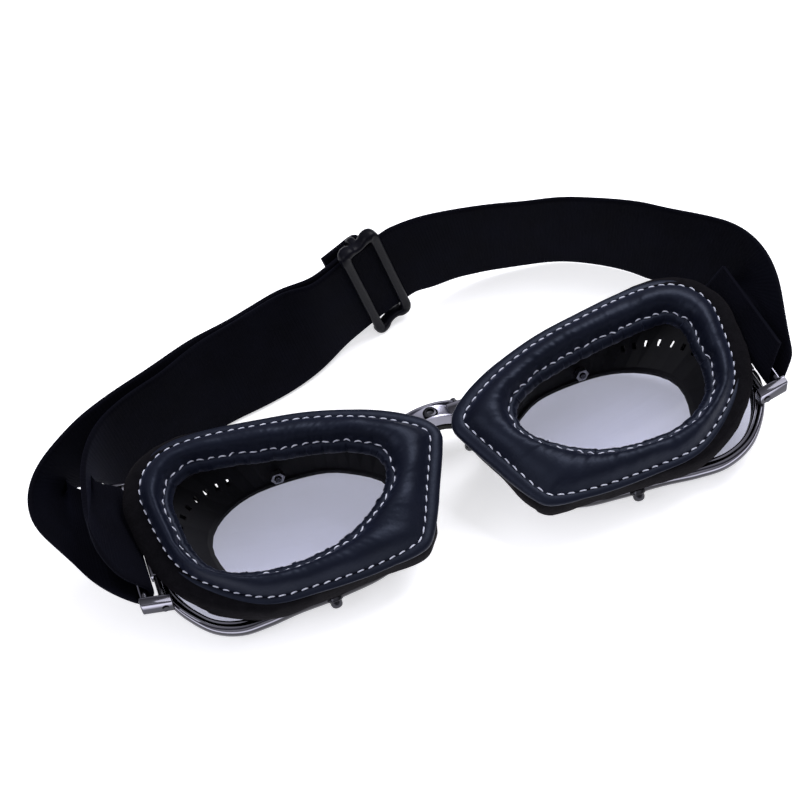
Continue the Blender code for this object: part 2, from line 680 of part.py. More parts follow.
def strap_section(centre, rise, normal):
    """Rounded strip section: rise is the way across the strap, normal its way out."""
    half, edge, thick = STRAP_WIDTH / 2, STRAP_EDGE, STRAP / 2
    corners = [(half, thick - edge), (half - edge, thick), (-half + edge, thick), (-half, thick - edge),
               (-half, edge - thick), (edge - half, -thick), (half - edge, -thick), (half, edge - thick)]
    return [centre + rise * up + normal * out for up, out in corners]


def strap_stations(shares):
    """Centre and way across the strap at each station of a route."""
    stations = []
    for x, y, z, *way in shares:
        centre = (x * strap_span(), y * STRAP_DEPTH, z * STRAP_WIDTH)
        stations.append((*centre, *Vector(way).normalized()))
    return stations


def slider_frame():
    """Along the strap, across it and out of it towards the goggles, at the slider."""
    along = Vector((math.cos(SLIDER_HEADING) * math.cos(SLIDER_RISE),
                    math.sin(SLIDER_HEADING) * math.cos(SLIDER_RISE), math.sin(SLIDER_RISE)))
    out = along.cross(Vector((0, 0, 1))).normalized()
    out.rotate(Matrix.Rotation(SLIDER_LEAN, 3, along))
    return along, out.cross(along).normalized(), out


def slanted_way(slant):
    """A way along the strap in the slider's plane, turned towards the lower edge."""
    along, rise, _out = slider_frame()
    return along * math.cos(slant) - rise * math.sin(slant)


def slider_station(distance, slant):
    """A station near the slider, at a distance from its middle."""
    _along, rise, _out = slider_frame()
    return (*(Vector(SLIDER_POINT) + slanted_way(slant) * distance), *rise)


def stations_before():
    return [slider_station(distance, SLANT_BEFORE)
            for distance in (-STRAIGHT_BEFORE, STRAIGHT_LEAD - STRAIGHT_BEFORE)]


def stations_after():
    return [slider_station(distance, SLANT_AFTER)
            for distance in (STRAIGHT_AFTER - STRAIGHT_LEAD, STRAIGHT_AFTER)]


def strap_mesh(stations, behind=0):
    """A strip through the stations; behind moves it away from the goggles."""
    path = smooth_line(stations, STRAP_SPACING)
    last = len(path) - 1
    ways = []
    for index, row in enumerate(path):
        along = Vector(path[min(index + 1, last)][:3]) - Vector(path[max(index - 1, 0)][:3])
        ways.append(along.normalized().cross(Vector(row[3:]).normalized()))
    sections = []
    for index, row in enumerate(path):
        rise = Vector(row[3:]).normalized()
        normal = ways[max(index - 1, 0)] + ways[index] + ways[min(index + 1, last)]
        normal = (normal - rise * normal.dot(rise)).normalized()
        sections.append(strap_section(Vector(row[:3]) - normal * behind, rise, normal))
    return bar_mesh(sections)


def loop_path(front_leg, back_leg):
    """Sections of a strap folded round the right clip's bar: centre, way across and way out."""
    heading = Vector((math.cos(LOOP_LEAN), 0, math.sin(LOOP_LEAN)))
    front = Vector((-heading.z, 0, heading.x))
    bar_x, bar_z = clip_bar()
    middle = Vector((bar_x, STRAP_CENTRE_Y, bar_z))
    radius = CLIP_BAR_RADIUS + GAP + STRAP / 2
    rise = Vector((0, -1, 0))
    path = [(middle + front * radius + heading * front_leg, rise, front)]
    for step in range(FOLD_STEPS + 1):
        angle = math.pi * step / FOLD_STEPS
        out = front * math.cos(angle) - heading * math.sin(angle)
        path.append((middle + out * radius, rise, out))
    path.append((middle - front * radius + heading * back_leg, rise, -front))
    return path


def leg_stations(layer, side):
    """Stations that meet the end of a clip loop's leg squarely.

    Layer is 1 for the leg towards the face and -1 for the other; side is 1 on the right.
    """
    heading = Vector((math.cos(LOOP_LEAN), 0, math.sin(LOOP_LEAN)))
    front = Vector((-heading.z, 0, heading.x))
    radius = CLIP_BAR_RADIUS + GAP + STRAP / 2
    bar_x, bar_z = clip_bar()
    stations = []
    for beyond in (GAP + STRAP, GAP):
        place = Vector((bar_x, STRAP_CENTRE_Y, bar_z)) + front * radius * layer
        place += heading * (LOOP_LEG + beyond)
        stations.append((side * place.x, place.y, place.z, 0, -1, 0))
    return stations


def make_cup(builder, finish, side, flip):
    """Everything that turns with one cup; flip mirrors a solid where the side needs it."""
    body = f"{side}_cup_hinge"

    def add(name, mesh, material):
        return builder.part(f"{side}_{name}", flip(mesh), material, body)

    def cut(item, name, mesh, operation="DIFFERENCE"):
        builder.combine(item, f"{side}_{name}", flip(mesh), operation)

    rim = add("rim", rim_mesh(), finish["chrome"])
    cut(rim, "bridge_tab", tab_mesh(), "UNION")
    cut(rim, "bridge_tab_foot", tab_foot_mesh(), "UNION")
    cut(rim, "clip_lug", lug_mesh(), "UNION")
    bridge_pin = Vector((BRIDGE_PIN_X, BRIDGE_FRONT, BRIDGE_PIN_Z))
    reach = Vector((0, BRIDGE_BACK - BRIDGE_FRONT, 0))
    cut(rim, "bridge_pin_bore", rod_mesh(bridge_pin, bridge_pin + reach, PIN_RADIUS + SLIP_FIT))
    pin_x, pin_z = clip_pin()
    bore_start = Vector((pin_x, LUG_NEAR - OVERRUN, pin_z))
    bore_end = Vector((pin_x, LUG_FAR + OVERRUN, pin_z))
    cut(rim, "clip_pin_bore", rod_mesh(bore_start, bore_end, PIN_RADIUS + SLIP_FIT))

    add("lens_gasket", gasket_mesh(), finish["rubber"])
    add("lens", lens_mesh(), finish["lens"])
    cup = add("cup", cup_mesh(), finish["plastic"])
    wall = add("side_wall", side_wall_mesh(), finish["suede"])
    add("foam", padded_mesh(FOAM_SECTION_SHARES), finish["foam"])
    add("cushion", padded_mesh(CUSHION_SECTION_SHARES), finish["leather"])

    for index, (place, out) in enumerate(vent_places()):
        cut(cup, f"cup_vent_{index}", vent_mesh(place, out))
        cut(wall, f"wall_vent_{index}", vent_mesh(place, out))

    screws = {"brow": (BROW_SCREW_ANGLE, BROW_SCREW_RISE), "cheek": (CHEEK_SCREW_ANGLE, CHEEK_SCREW_RISE),
              "nose": (NOSE_SCREW_ANGLE, NOSE_SCREW_RISE)}
    for where, (angle, rise) in screws.items():
        place, out = wall_place(angle, rise)
        seat = SUEDE_GAP + SUEDE + SUEDE_BULGE + GAP
        nut_seat = CUP_WALL + NUT_SEAT_GAP
        grip = seat + nut_seat + NUT_HEIGHT + SCREW_TAIL
        screw = add(f"{where}_screw", screw_mesh(place + out * seat, out, grip), finish["black_steel"])
        cut(screw, f"{where}_screw_slot", slot_mesh(place + out * seat, out, SCREW_HEAD_RADIUS, SCREW_HEAD))
        add(f"{where}_nut", nut_mesh(place - out * nut_seat, out), finish["black_steel"])
        bore = SCREW_RADIUS + SLIP_FIT
        cut(cup, f"cup_{where}_bore", pin_hole(place, out, bore, OVERRUN))
        cut(wall, f"wall_{where}_bore", pin_hole(place, out, bore, OVERRUN))


def make_clip(builder, finish, side, flip):
    """The wire-ended bracket that holds the strap, and its pin in the rim's lug."""
    body = f"{side}_clip_hinge"
    half = CLIP_PLATE_HEIGHT / 2
    pin_x, pin_z = clip_pin()
    bar_x, bar_z = clip_bar()
    bar_start = (bar_x, CLIP_NEAR + CLIP_PLATE / 2, bar_z)
    bar_end = (bar_x, CLIP_FAR - CLIP_PLATE / 2, bar_z)
    bar = flip(rod_mesh(bar_start, bar_end, CLIP_BAR_RADIUS))
    clip = builder.part(f"{side}_clip", bar, finish["chrome"], body)
    pin_radius = PIN_RADIUS + SLIP_FIT
    for end, start in (("near", CLIP_NEAR), ("far", CLIP_FAR - CLIP_PLATE)):
        plate = block_mesh((pin_x - half, start, pin_z - half),
                           (bar_x + CLIP_BAR_RADIUS, start + CLIP_PLATE, pin_z + half))
        for vert in plate.verts:
            if vert.co.x > pin_x:
                vert.co.z += CLIP_BAR_UP
        builder.combine(clip, f"{side}_clip_{end}_plate", flip(plate), "UNION")
    start = Vector((pin_x, CLIP_NEAR - OVERRUN, pin_z))
    end = Vector((pin_x, CLIP_FAR + OVERRUN, pin_z))
    builder.combine(clip, f"{side}_clip_bore", flip(rod_mesh(start, end, pin_radius)))
    pin_start = (pin_x, CLIP_NEAR - PIN_STICKS_OUT, pin_z)
    pin_end = (pin_x, CLIP_FAR + PIN_STICKS_OUT, pin_z)
    builder.part(f"{side}_clip_pin", flip(rod_mesh(pin_start, pin_end, PIN_RADIUS)), finish["black_steel"],
                 f"{side}_cup_hinge")


def make_bridge(builder, finish):
    """The cast channel over the nose, its pad, its screw and the two hinge pins."""
    half = BRIDGE_LENGTH / 2
    sides = []
    for y in (BRIDGE_FRONT, BRIDGE_BACK):
        sides.append(arch_section(half, y, BRIDGE_BOTTOM, BRIDGE_SHOULDER, BRIDGE_CROWN))
    housing = builder.part("bridge_housing", bar_mesh(sides), finish["chrome"], "bridge")
    pocket = block_mesh((-half - OVERRUN, BRIDGE_FRONT + BRIDGE_WALL, BRIDGE_BOTTOM + BRIDGE_FLOOR),
                        (half + OVERRUN, BRIDGE_BACK - BRIDGE_WALL, BRIDGE_CROWN + OVERRUN))
    builder.combine(housing, "bridge_pocket", pocket)
    for side, sign in (("left", -1), ("right", 1)):
        front = (sign * BRIDGE_PIN_X, BRIDGE_FRONT - PIN_STICKS_OUT, BRIDGE_PIN_Z)
        back = (sign * BRIDGE_PIN_X, BRIDGE_BACK + PIN_STICKS_OUT, BRIDGE_PIN_Z)
        builder.part(f"{side}_bridge_pin", rod_mesh(front, back, PIN_RADIUS), finish["black_steel"], "bridge")
        bore_front = (sign * BRIDGE_PIN_X, BRIDGE_FRONT - OVERRUN, BRIDGE_PIN_Z)
        bore_back = (sign * BRIDGE_PIN_X, BRIDGE_BACK + OVERRUN, BRIDGE_PIN_Z)
        bore = rod_mesh(bore_front, bore_back, PIN_RADIUS + SLIP_FIT)
        builder.combine(housing, f"{side}_housing_bore", bore)
    middle = (BRIDGE_FRONT + BRIDGE_BACK) / 2
    seat = Vector((0, middle, BRIDGE_BOTTOM + BRIDGE_FLOOR + GAP))
    up = Vector((0, 0, 1))
    pad_top = BRIDGE_BOTTOM - GAP
    pad = builder.part("bridge_pad", block_mesh((-PAD_LENGTH / 2, PAD_FRONT, pad_top - PAD_THICKNESS),
                                                (PAD_LENGTH / 2, BRIDGE_BACK, pad_top)),
                       finish["rubber"], "bridge", smooth=False)
    grip = seat.z - pad_top + PAD_THICKNESS
    head_radius, head = BRIDGE_SCREW_HEAD_RADIUS, BRIDGE_SCREW_HEAD
    screw = builder.part("bridge_screw", screw_mesh(seat, up, grip, head_radius, head, BRIDGE_SCREW_RADIUS),
                         finish["black_steel"], "bridge")
    builder.combine(screw, "bridge_screw_slot", slot_mesh(seat, up, head_radius, head))
    bore = BRIDGE_SCREW_RADIUS + SLIP_FIT
    for item, name in ((housing, "housing_screw_bore"), (pad, "pad_screw_bore")):
        builder.combine(item, name, pin_hole(seat, up, bore, grip + OVERRUN))


def arch_section(half, y, bottom, shoulder, crown, steps=12):
    """Outline of the bridge seen from the cheeks: a flat foot and an arched top."""
    points = [Vector((-half, y, bottom)), Vector((half, y, bottom))]
    for step in range(steps + 1):
        angle = math.pi * step / steps
        points.append(Vector((half * math.cos(angle), y, shoulder + (crown - shoulder) * math.sin(angle))))
    return points


def make_strap(builder, finish):
    """The main run, its turns at both clips, the doubled run and the loops that end them."""
    fabric = finish["webbing"]
    space = STRAP + LAYER_SPACE
    straight = stations_before() + [slider_station(0, 0)] + stations_after()
    main = strap_stations(LEFT_BACK_SHARES[::-1]) + straight + strap_stations(RIGHT_BACK_SHARES)
    builder.part("strap_main", strap_mesh(main), fabric, "bridge")

    turn = strap_stations(RIGHT_TURN_SHARES) + leg_stations(-1, 1)
    turn[0] = shift_along(turn[0], turn[1], GAP)
    builder.part("strap_right_turn", strap_mesh(turn), fabric, "bridge")
    loop = bar_mesh([strap_section(*row) for row in loop_path(TAIL_LEG, LOOP_LEG)])
    builder.part("strap_right_loop", loop, fabric, "right_clip_hinge")

    for layer, shares, side in (("inner", LEFT_INNER_TURN_SHARES, 1), ("outer", LEFT_OUTER_TURN_SHARES, -1)):
        turn = strap_stations(shares) + leg_stations(side, -1)
        turn[0] = shift_along(turn[0], turn[1], GAP)
        builder.part(f"strap_left_{layer}_turn", strap_mesh(turn), fabric, "bridge")
    loop = bar_mesh([strap_section(*row) for row in loop_path(LOOP_LEG, LOOP_LEG)])
    builder.part("strap_left_loop", mirrored(loop), fabric, "left_clip_hinge")

    back = strap_stations(LEFT_BACK_SHARES[::-1]) + stations_before()
    back.append(slider_station(-SLIDER_TAIL - GAP, SLANT_BEFORE))
    builder.part("strap_back_run", strap_mesh(back, behind=space), fabric, "bridge")


def shift_along(station, following, distance):
    """The station moved a small way towards the one after it."""
    way = Vector(following[:3]) - Vector(station[:3])
    return (*(Vector(station[:3]) + way.normalized() * distance), *station[3:])


def middle_bar_front():
    """How far behind the main run's middle the slider's middle bar begins."""
    return STRAP / 2 + LAYER_SPACE + STRAP + GAP


def make_slider(builder, finish):
    """The three-bar slider: the strap runs behind its outer bars and before its middle bar."""
    along, rise, out = slider_frame()
    frame = Matrix((along, rise, out)).transposed().to_4x4()
    frame.translation = SLIDER_POINT
    half = SLIDER_LENGTH / 2
    inside = STRAP_WIDTH / 2 + SLIDER_SIDE_ROOM + GAP
    outside = inside + SLIDER_RAIL
    end = inside + SLIDER_RAIL / 2
    front = STRAP / 2 + GAP
    top = front + SLIDER_BAR_THICKNESS
    bar_front = -middle_bar_front()
    bar_back = bar_front - MIDDLE_BAR_THICKNESS
    rail_back, rail_top = -front - SLIDER_EDGE, top + SLIDER_EDGE
    ear_back = bar_back - SLIDER_EDGE
    ear_inside, ear_outside = inside + SLIDER_EDGE / 2, outside - SLIDER_EDGE
    rails = block_mesh((-half, inside, rail_back), (half, outside, rail_top), frame)
    slider = builder.part("slider", rails, finish["gloss_plastic"], "slider", smooth=False)
    joined = {
        "left_bar": ((-half + SLIDER_EDGE, -end, front), (-half + SLIDER_BAR, end, top)),
        "right_bar": ((half - SLIDER_BAR, -end, front), (half - SLIDER_EDGE, end, top)),
        "lower_rail": ((-half, -outside, rail_back), (half, -inside, rail_top)),
        "upper_ear": ((-SLIDER_EAR / 2, ear_inside, ear_back), (SLIDER_EAR / 2, ear_outside, 0)),
        "lower_ear": ((-SLIDER_EAR / 2, -ear_outside, ear_back), (SLIDER_EAR / 2, -ear_inside, 0)),
        "middle_bar": ((-MIDDLE_BAR / 2, -end, bar_back), (MIDDLE_BAR / 2, end, bar_front))}
    for name, (low, high) in joined.items():
        builder.combine(slider, f"slider_{name}", block_mesh(low, high, frame), "UNION")
    loop = bar_mesh([strap_section(*row) for row in slider_loop_path()])
    builder.part("strap_slider_loop", loop, finish["webbing"], "slider")


def slider_loop_path():
    """The strap's end, folded round the slider's middle bar behind the main run."""
    _along, rise, out = slider_frame()
    along = slanted_way(SLANT_BEFORE)
    near = -STRAP - LAYER_SPACE
    far = -middle_bar_front() - MIDDLE_BAR_THICKNESS - GAP - STRAP / 2
    radius = (near - far) / 2
    middle = Vector(SLIDER_POINT) + out * ((near + far) / 2) + along * (MIDDLE_BAR / 2)
    path = [(Vector(SLIDER_POINT) + out * near - along * SLIDER_TAIL, rise, out)]
    for step in range(FOLD_STEPS + 1):
        angle = math.pi * step / FOLD_STEPS
        way = out * math.cos(angle) + along * math.sin(angle)
        path.append((middle + way * radius, rise, way))
    path.append((Vector(SLIDER_POINT) + out * far - along * SLIDER_TAIL, rise, -out))
    return path


def stand_on_origin(builder):
    """Move the whole model so that its box stands on the origin, bottom and centre."""
    bpy.context.view_layer.update()
    graph = bpy.context.evaluated_depsgraph_get()
    low, high = Vector((math.inf,) * 3), Vector((-math.inf,) * 3)
    for item in builder.parts.objects:
        if item.type != "MESH":
            continue
        solid = item.evaluated_get(graph)
        for vert in solid.data.vertices:
            place = item.matrix_world @ vert.co
            low = Vector(map(min, low, place))
            high = Vector(map(max, high, place))
    builder.pivots["goggles"].location = (-(low.x + high.x) / 2, -(low.y + high.y) / 2, -low.z)
    bpy.context.view_layer.update()


def main():
    remove_default_objects()
    builder = Builder()
    finish = {
        "chrome": new_material("gunmetal_chrome", (0.42, 0.42, 0.46), 0.12, 1.0),
        "black_steel": new_material("black_steel", (0.03, 0.03, 0.035), 0.3, 0.9),
        "rubber": new_material("gasket_rubber", (0.01, 0.01, 0.012), 0.6),
        "plastic": new_material("moulded_plastic", (0.012, 0.012, 0.016), 0.45),
        "gloss_plastic": new_material("slider_plastic", (0.008, 0.008, 0.01), 0.25),
        "lens": new_material("clear_lens", (0.62, 0.62, 0.72), 0.03, 0.0, 0.9),
        "leather": new_material("navy_leather", (0.012, 0.015, 0.035), 0.4),
        "suede": new_material("black_suede", (0.008, 0.008, 0.012), 0.9),
        "foam": new_material("foam", (0.03, 0.03, 0.035), 0.95),
        "webbing": new_material("elastic_webbing", (0.006, 0.006, 0.014), 0.85)}
    builder.pivot("goggles", (0, 0, 0))
    builder.pivot("bridge", (0, 0, 0), "goggles")
    builder.pivot("slider", SLIDER_POINT, "bridge")
    for side, sign in (("left", -1), ("right", 1)):
        flip = mirrored if sign < 0 else lambda mesh: mesh
        builder.pivot(f"{side}_cup_hinge", (sign * BRIDGE_PIN_X, 0, BRIDGE_PIN_Z), "bridge")
        pin_x, pin_z = clip_pin()
        builder.pivot(f"{side}_clip_hinge", (sign * pin_x, 0, pin_z), f"{side}_cup_hinge")
        make_cup(builder, finish, side, flip)
        make_clip(builder, finish, side, flip)
    make_bridge(builder, finish)
    make_strap(builder, finish)
    make_slider(builder, finish)
    stand_on_origin(builder)


main()
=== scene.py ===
"""The looks of the motorcycle goggles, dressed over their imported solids. Lengths are metres.

Outlines and routes are worked out in the same table frame as the solids, whose X = 0 plane is the
plane of symmetry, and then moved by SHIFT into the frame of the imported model.
"""
import math
import random

import bmesh
import bpy
import numpy as np
from mathutils import Matrix, Vector


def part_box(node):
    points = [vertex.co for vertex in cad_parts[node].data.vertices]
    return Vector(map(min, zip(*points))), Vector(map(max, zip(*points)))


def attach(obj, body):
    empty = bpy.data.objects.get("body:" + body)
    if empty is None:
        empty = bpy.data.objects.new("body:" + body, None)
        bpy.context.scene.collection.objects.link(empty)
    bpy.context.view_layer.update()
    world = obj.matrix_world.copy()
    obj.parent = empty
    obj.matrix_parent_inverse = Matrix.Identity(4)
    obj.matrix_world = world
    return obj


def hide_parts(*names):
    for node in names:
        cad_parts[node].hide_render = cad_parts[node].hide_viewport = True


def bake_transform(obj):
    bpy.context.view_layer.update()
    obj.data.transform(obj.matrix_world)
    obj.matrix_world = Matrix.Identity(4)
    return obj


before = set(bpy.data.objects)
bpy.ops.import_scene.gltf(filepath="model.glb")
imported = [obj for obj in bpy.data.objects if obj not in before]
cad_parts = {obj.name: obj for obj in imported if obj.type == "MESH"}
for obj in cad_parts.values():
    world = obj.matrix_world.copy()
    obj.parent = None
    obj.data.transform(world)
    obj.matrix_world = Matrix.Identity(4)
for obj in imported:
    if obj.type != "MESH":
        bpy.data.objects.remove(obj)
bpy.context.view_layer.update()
MM = 0.001

# Sizes shared with the solids
GAP = 0.0003
RIM_CENTRE = (0.0515, -0.0035)
RIM_HALF_WIDTH = 0.0405
RIM_HALF_HEIGHT = 0.0295
RIM_HEIGHT = 0.006
RIM_WALL = 0.0009
LENS_THICKNESS = 0.0018
LENS_WRAP_RADIUS = 0.110
LENS_LOWEST_X = 0.045
LENS_EDGE_DEPTH = 0.0021
OPENING_CENTRE = (0.0465, -0.0015)
OPENING_HALF_WIDTH = 0.0275
OPENING_HALF_HEIGHT = 0.0210
CUP_FLOOR_WIDTH = 0.0022
FACE_TILT = math.radians(14.0)
FACE_LIFT = 0.0262
CUSHION_CENTRE = (0.0468, -0.00325)
CUSHION_HALF_WIDTH = 0.0420
CUSHION_HALF_HEIGHT = 0.02765
EYE_CENTRE = (0.0495, -0.0044)
EYE_HALF_WIDTH = 0.0312
EYE_HALF_HEIGHT = 0.0192
ROLL_REACH = 0.0036
ROLL_DROP = 0.0046
FLAP_REACH = 0.0024
FLANGE_WALL = 0.0015
FLANGE_REACH = 0.0009
SUEDE = 0.0008
SUEDE_GAP = 0.0007
BRIDGE_LENGTH = 0.020
BRIDGE_FRONT = 0.0144
BRIDGE_BACK = 0.0224
BRIDGE_BOTTOM = 0.0086
BRIDGE_WALL = 0.0012
BRIDGE_PIN_X = 0.0086
BRIDGE_PIN_Z = 0.0122
PAD_LENGTH = 0.0130
PAD_THICKNESS = 0.0024
PIN_RADIUS = 0.0010
TAB_REACH = 0.0095
TAB_THICKNESS = 0.0036
TAB_EDGE = 0.0004
TAB_RUNNING_GAP = 0.0015
CLIP_PIN_INSET = 0.0005
CLIP_PIN_RISE = 0.0012
CLIP_NEAR = -0.0195
CLIP_FAR = 0.0262
CLIP_PLATE = 0.0012
CLIP_PLATE_HEIGHT = 0.0046
CLIP_BAR_OUT = 0.0049
CLIP_BAR_UP = 0.0025
CLIP_BAR_RADIUS = 0.0015
LUG_NEAR = -0.0085
LUG_FAR = -0.0015
LUG_HALF_WIDTH = 0.0016
VENT_COUNT = 7
VENT_FIRST = math.radians(14.0)
VENT_LAST = math.radians(52.0)
STRAP_WIDTH = 0.034
STRAP = 0.0015
LAYER_SPACE = 0.0008
LOOP_LEG = 0.0060
TAIL_LEG = 0.0095
LOOP_LEAN = math.radians(42.0)
RIGHT_LOOP_LEAN = math.radians(58.0)
STRAP_BELLY = 0.0136
STRAP_DEPTH = 0.0825
STRAP_CENTRE_Y = 0.0072
SLIDER_POINT = (0.0011, 0.0721, 0.0222)
SLIDER_HEADING = math.radians(18.0)
SLIDER_RISE = math.radians(13.8)
SLIDER_LEAN = math.radians(1.5)
SLANT_BEFORE = math.radians(3.5)
SLANT_AFTER = math.radians(9.5)
SLIDER_LENGTH = 0.0150
SLIDER_BAR = 0.0034
MIDDLE_BAR = 0.0026
MIDDLE_BAR_THICKNESS = 0.0016
STRAIGHT_BEFORE = 0.0170
STRAIGHT_AFTER = 0.0105
STRAIGHT_LEAD = 0.0015
SLIDER_TAIL = 0.0100

RIM_OUTLINE_SHARES = [
    (0.951, 0.186), (0.778, 0.525), (0.457, 0.847), (0.086, 1.000), (-0.284, 1.000), (-0.654, 0.830),
    (-0.926, 0.525), (-1.000, 0.119), (-0.893, -0.345), (-0.600, -0.665), (-0.220, -0.735),
    (0.110, -0.765), (0.350, -0.828), (0.556, -0.864), (0.740, -0.790), (0.880, -0.600),
    (0.965, -0.390), (1.000, -0.150)]
OPENING_OUTLINE_SHARES = [
    (1.000, -0.014), (0.945, 0.385), (0.709, 0.737), (0.382, 0.948), (-0.018, 0.995), (-0.418, 0.910),
    (-0.709, 0.667), (-0.945, 0.330), (-0.970, -0.020), (-0.810, -0.315), (-0.527, -0.590),
    (-0.164, -0.735), (0.200, -0.800), (0.600, -0.825), (0.873, -0.543)]
CUSHION_OUTLINE_SHARES = [
    (1.000, 0.385), (0.990, 0.640), (0.900, 0.860), (0.719, 0.985), (0.450, 0.989), (0.076, 0.906),
    (-0.260, 0.805), (-0.612, 0.613), (-0.870, 0.385), (-0.980, 0.215), (-0.960, 0.060),
    (-0.833, -0.360), (-0.700, -0.800), (-0.600, -0.930), (-0.307, -0.996), (0.076, -0.993),
    (0.433, -0.930), (0.760, -0.590), (0.930, -0.220)]
EYE_OUTLINE_SHARES = [
    (0.980, 0.300), (0.980, 0.720), (0.820, 1.000), (0.500, 1.000), (0.150, 0.940), (-0.300, 0.828),
    (-0.712, 0.640), (-0.965, 0.333), (-0.965, -0.135), (-0.731, -0.547), (-0.364, -0.880),
    (0.080, -1.000), (0.522, -0.917), (0.854, -0.578), (0.970, -0.120)]
RIGHT_BACK_SHARES = [
    (0.169, 0.930, 0.655, -0.23, -0.05, 1.0), (0.218, 0.941, 0.636, -0.20, -0.07, 1.0),
    (0.268, 0.948, 0.609, -0.17, -0.10, 1.0),
    (0.315, 0.949, 0.583, -0.14, -0.11, 1.0), (0.364, 0.947, 0.560, -0.12, -0.13, 1.0),
    (0.429, 0.935, 0.537, -0.10, -0.14, 1.0), (0.494, 0.917, 0.521, -0.08, -0.17, 1.0),
    (0.600, 0.881, 0.506, -0.05, -0.17, 1.0), (0.682, 0.818, 0.506, -0.03, -0.16, 1.0),
    (0.745, 0.758, 0.506, 0.00, -0.14, 1.0), (0.791, 0.703, 0.506, 0.03, -0.12, 1.0),
    (0.827, 0.645, 0.506, 0.07, -0.11, 1.0)]
RIGHT_TURN_SHARES = [
    (0.827, 0.645, 0.506, 0.07, -0.11, 1.0), (0.886, 0.573, 0.520, 0.13, -0.18, 0.98),
    (0.929, 0.514, 0.530, 0.12, -0.18, 0.98), (0.957, 0.459, 0.545, 0.14, -0.20, 0.97),
    (0.970, 0.398, 0.573, 0.18, -0.30, 0.94), (0.971, 0.330, 0.616, 0.20, -0.46, 0.86),
    (0.960, 0.252, 0.668, 0.18, -0.70, 0.66), (0.942, 0.172, 0.705, 0.08, -0.90, 0.40)]
LEFT_BACK_SHARES = [
    (-0.236, 0.782, 0.516, -0.19, 0.16, 1.0), (-0.324, 0.748, 0.494, -0.15, 0.22, 1.0),
    (-0.408, 0.714, 0.496, -0.13, 0.19, 1.0), (-0.518, 0.675, 0.504, -0.12, 0.13, 1.0)]
LEFT_INNER_TURN_SHARES = [
    (-0.518, 0.675, 0.504, -0.12, 0.13, 1.0), (-0.636, 0.612, 0.500, -0.11, 0.03, 1.0),
    (-0.755, 0.560, 0.497, -0.10, -0.02, 0.99), (-0.845, 0.500, 0.494, -0.10, -0.12, 0.98),
    (-0.902, 0.418, 0.550, -0.10, -0.42, 0.89), (-0.922, 0.339, 0.650, -0.10, -0.70, 0.70),
    (-0.929, 0.255, 0.756, -0.12, -0.85, 0.52), (-0.932, 0.176, 0.842, -0.12, -0.93, 0.35),
    (-0.928, 0.115, 0.858, -0.05, -0.99, 0.15)]
LEFT_OUTER_TURN_SHARES = [
    (-0.526, 0.703, 0.509, -0.12, 0.13, 1.0), (-0.668, 0.646, 0.506, -0.11, 0.03, 1.0),
    (-0.800, 0.596, 0.500, -0.13, -0.06, 0.99), (-0.868, 0.562, 0.494, -0.18, -0.12, 0.97),
    (-0.936, 0.512, 0.491, -0.26, -0.24, 0.93), (-0.985, 0.462, 0.494, -0.38, -0.36, 0.85),
    (-1.018, 0.411, 0.503, -0.42, -0.56, 0.71), (-1.032, 0.355, 0.518, -0.35, -0.76, 0.55),
    (-1.020, 0.290, 0.545, -0.20, -0.90, 0.38), (-1.000, 0.210, 0.600, -0.10, -0.97, 0.18),
    (-0.978, 0.135, 0.650, -0.02, -1.00, 0.03)]

# Where the strap is stretched wider: a place, the part of the route it is sought in, how much on the lower
# and on the upper edge, and how far along the strap this reaches
STRAP_SPREADS = [
    ((0.0964, 0.0072, 0.0198), (0.00, 0.15), 0.0020, 0.0058, 0.012),
    ((-0.0964, 0.0072, 0.0198), (0.40, 0.75), 0.0, 0.0056, 0.013),
    ((-0.1025, 0.0146, 0.0288), (0.40, 0.75), 0.0030, 0.0, 0.006),
    ((-0.0990, 0.0340, 0.0188), (0.35, 0.60), 0.0014, 0.0, 0.007),
    ((-0.1099, 0.0168, 0.0206), (0.50, 0.75), 0.0036, 0.0, 0.012)]

# Uneven waves: how fast each part turns next to the whole, and how far their sum is raised
RIPPLE_FACTORS = (0.45, 0.7, 1.0, 1.45, 2.1)
RIPPLE_GAIN = 1.6

# How fine the dressed pieces are
RIM_STEPS = 200
CUSHION_STEPS = 360
STRAP_STEP = 0.0010
SMOOTH_ROUNDS = 10

# Camera, in the table frame
CAMERA_PLACE = (-0.07918414, -0.28517426, 0.37783047)
CAMERA_RIGHT = (0.93731354, -0.33388825, -0.0998097)
CAMERA_UP = (0.31456924, 0.68739037, 0.65463017)
CAMERA_BACK = (-0.14996509, -0.64499078, 0.74933127)
CAMERA_LENS = 72.0
SENSOR = 36.0


def table_shift():
    """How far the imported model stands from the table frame, read off the bridge housing."""
    low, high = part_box("bridge_housing")
    return Vector(((low.x + high.x) / 2, low.y - BRIDGE_FRONT, low.z - BRIDGE_BOTTOM))


SHIFT = table_shift()


# Curves

def eased_point(start, end, leaving, arriving, share):
    """A point of the cubic from start to end that leaves and arrives with the given slopes."""
    return (start * (2 * share ** 3 - 3 * share ** 2 + 1) + leaving * (share ** 3 - 2 * share ** 2 + share)
            + end * (3 * share ** 2 - 2 * share ** 3) + arriving * (share ** 3 - share ** 2))


def smooth_round(points, count_each=16):
    """A closed curve through the points."""
    path = []
    total = len(points)
    for index in range(total):
        before, start, end, after = (np.array(points[(index + step) % total]) for step in (-1, 0, 1, 2))
        for part in range(count_each):
            path.append(eased_point(start, end, (end - before) / 2, (after - start) / 2, part / count_each))
    return np.array(path)


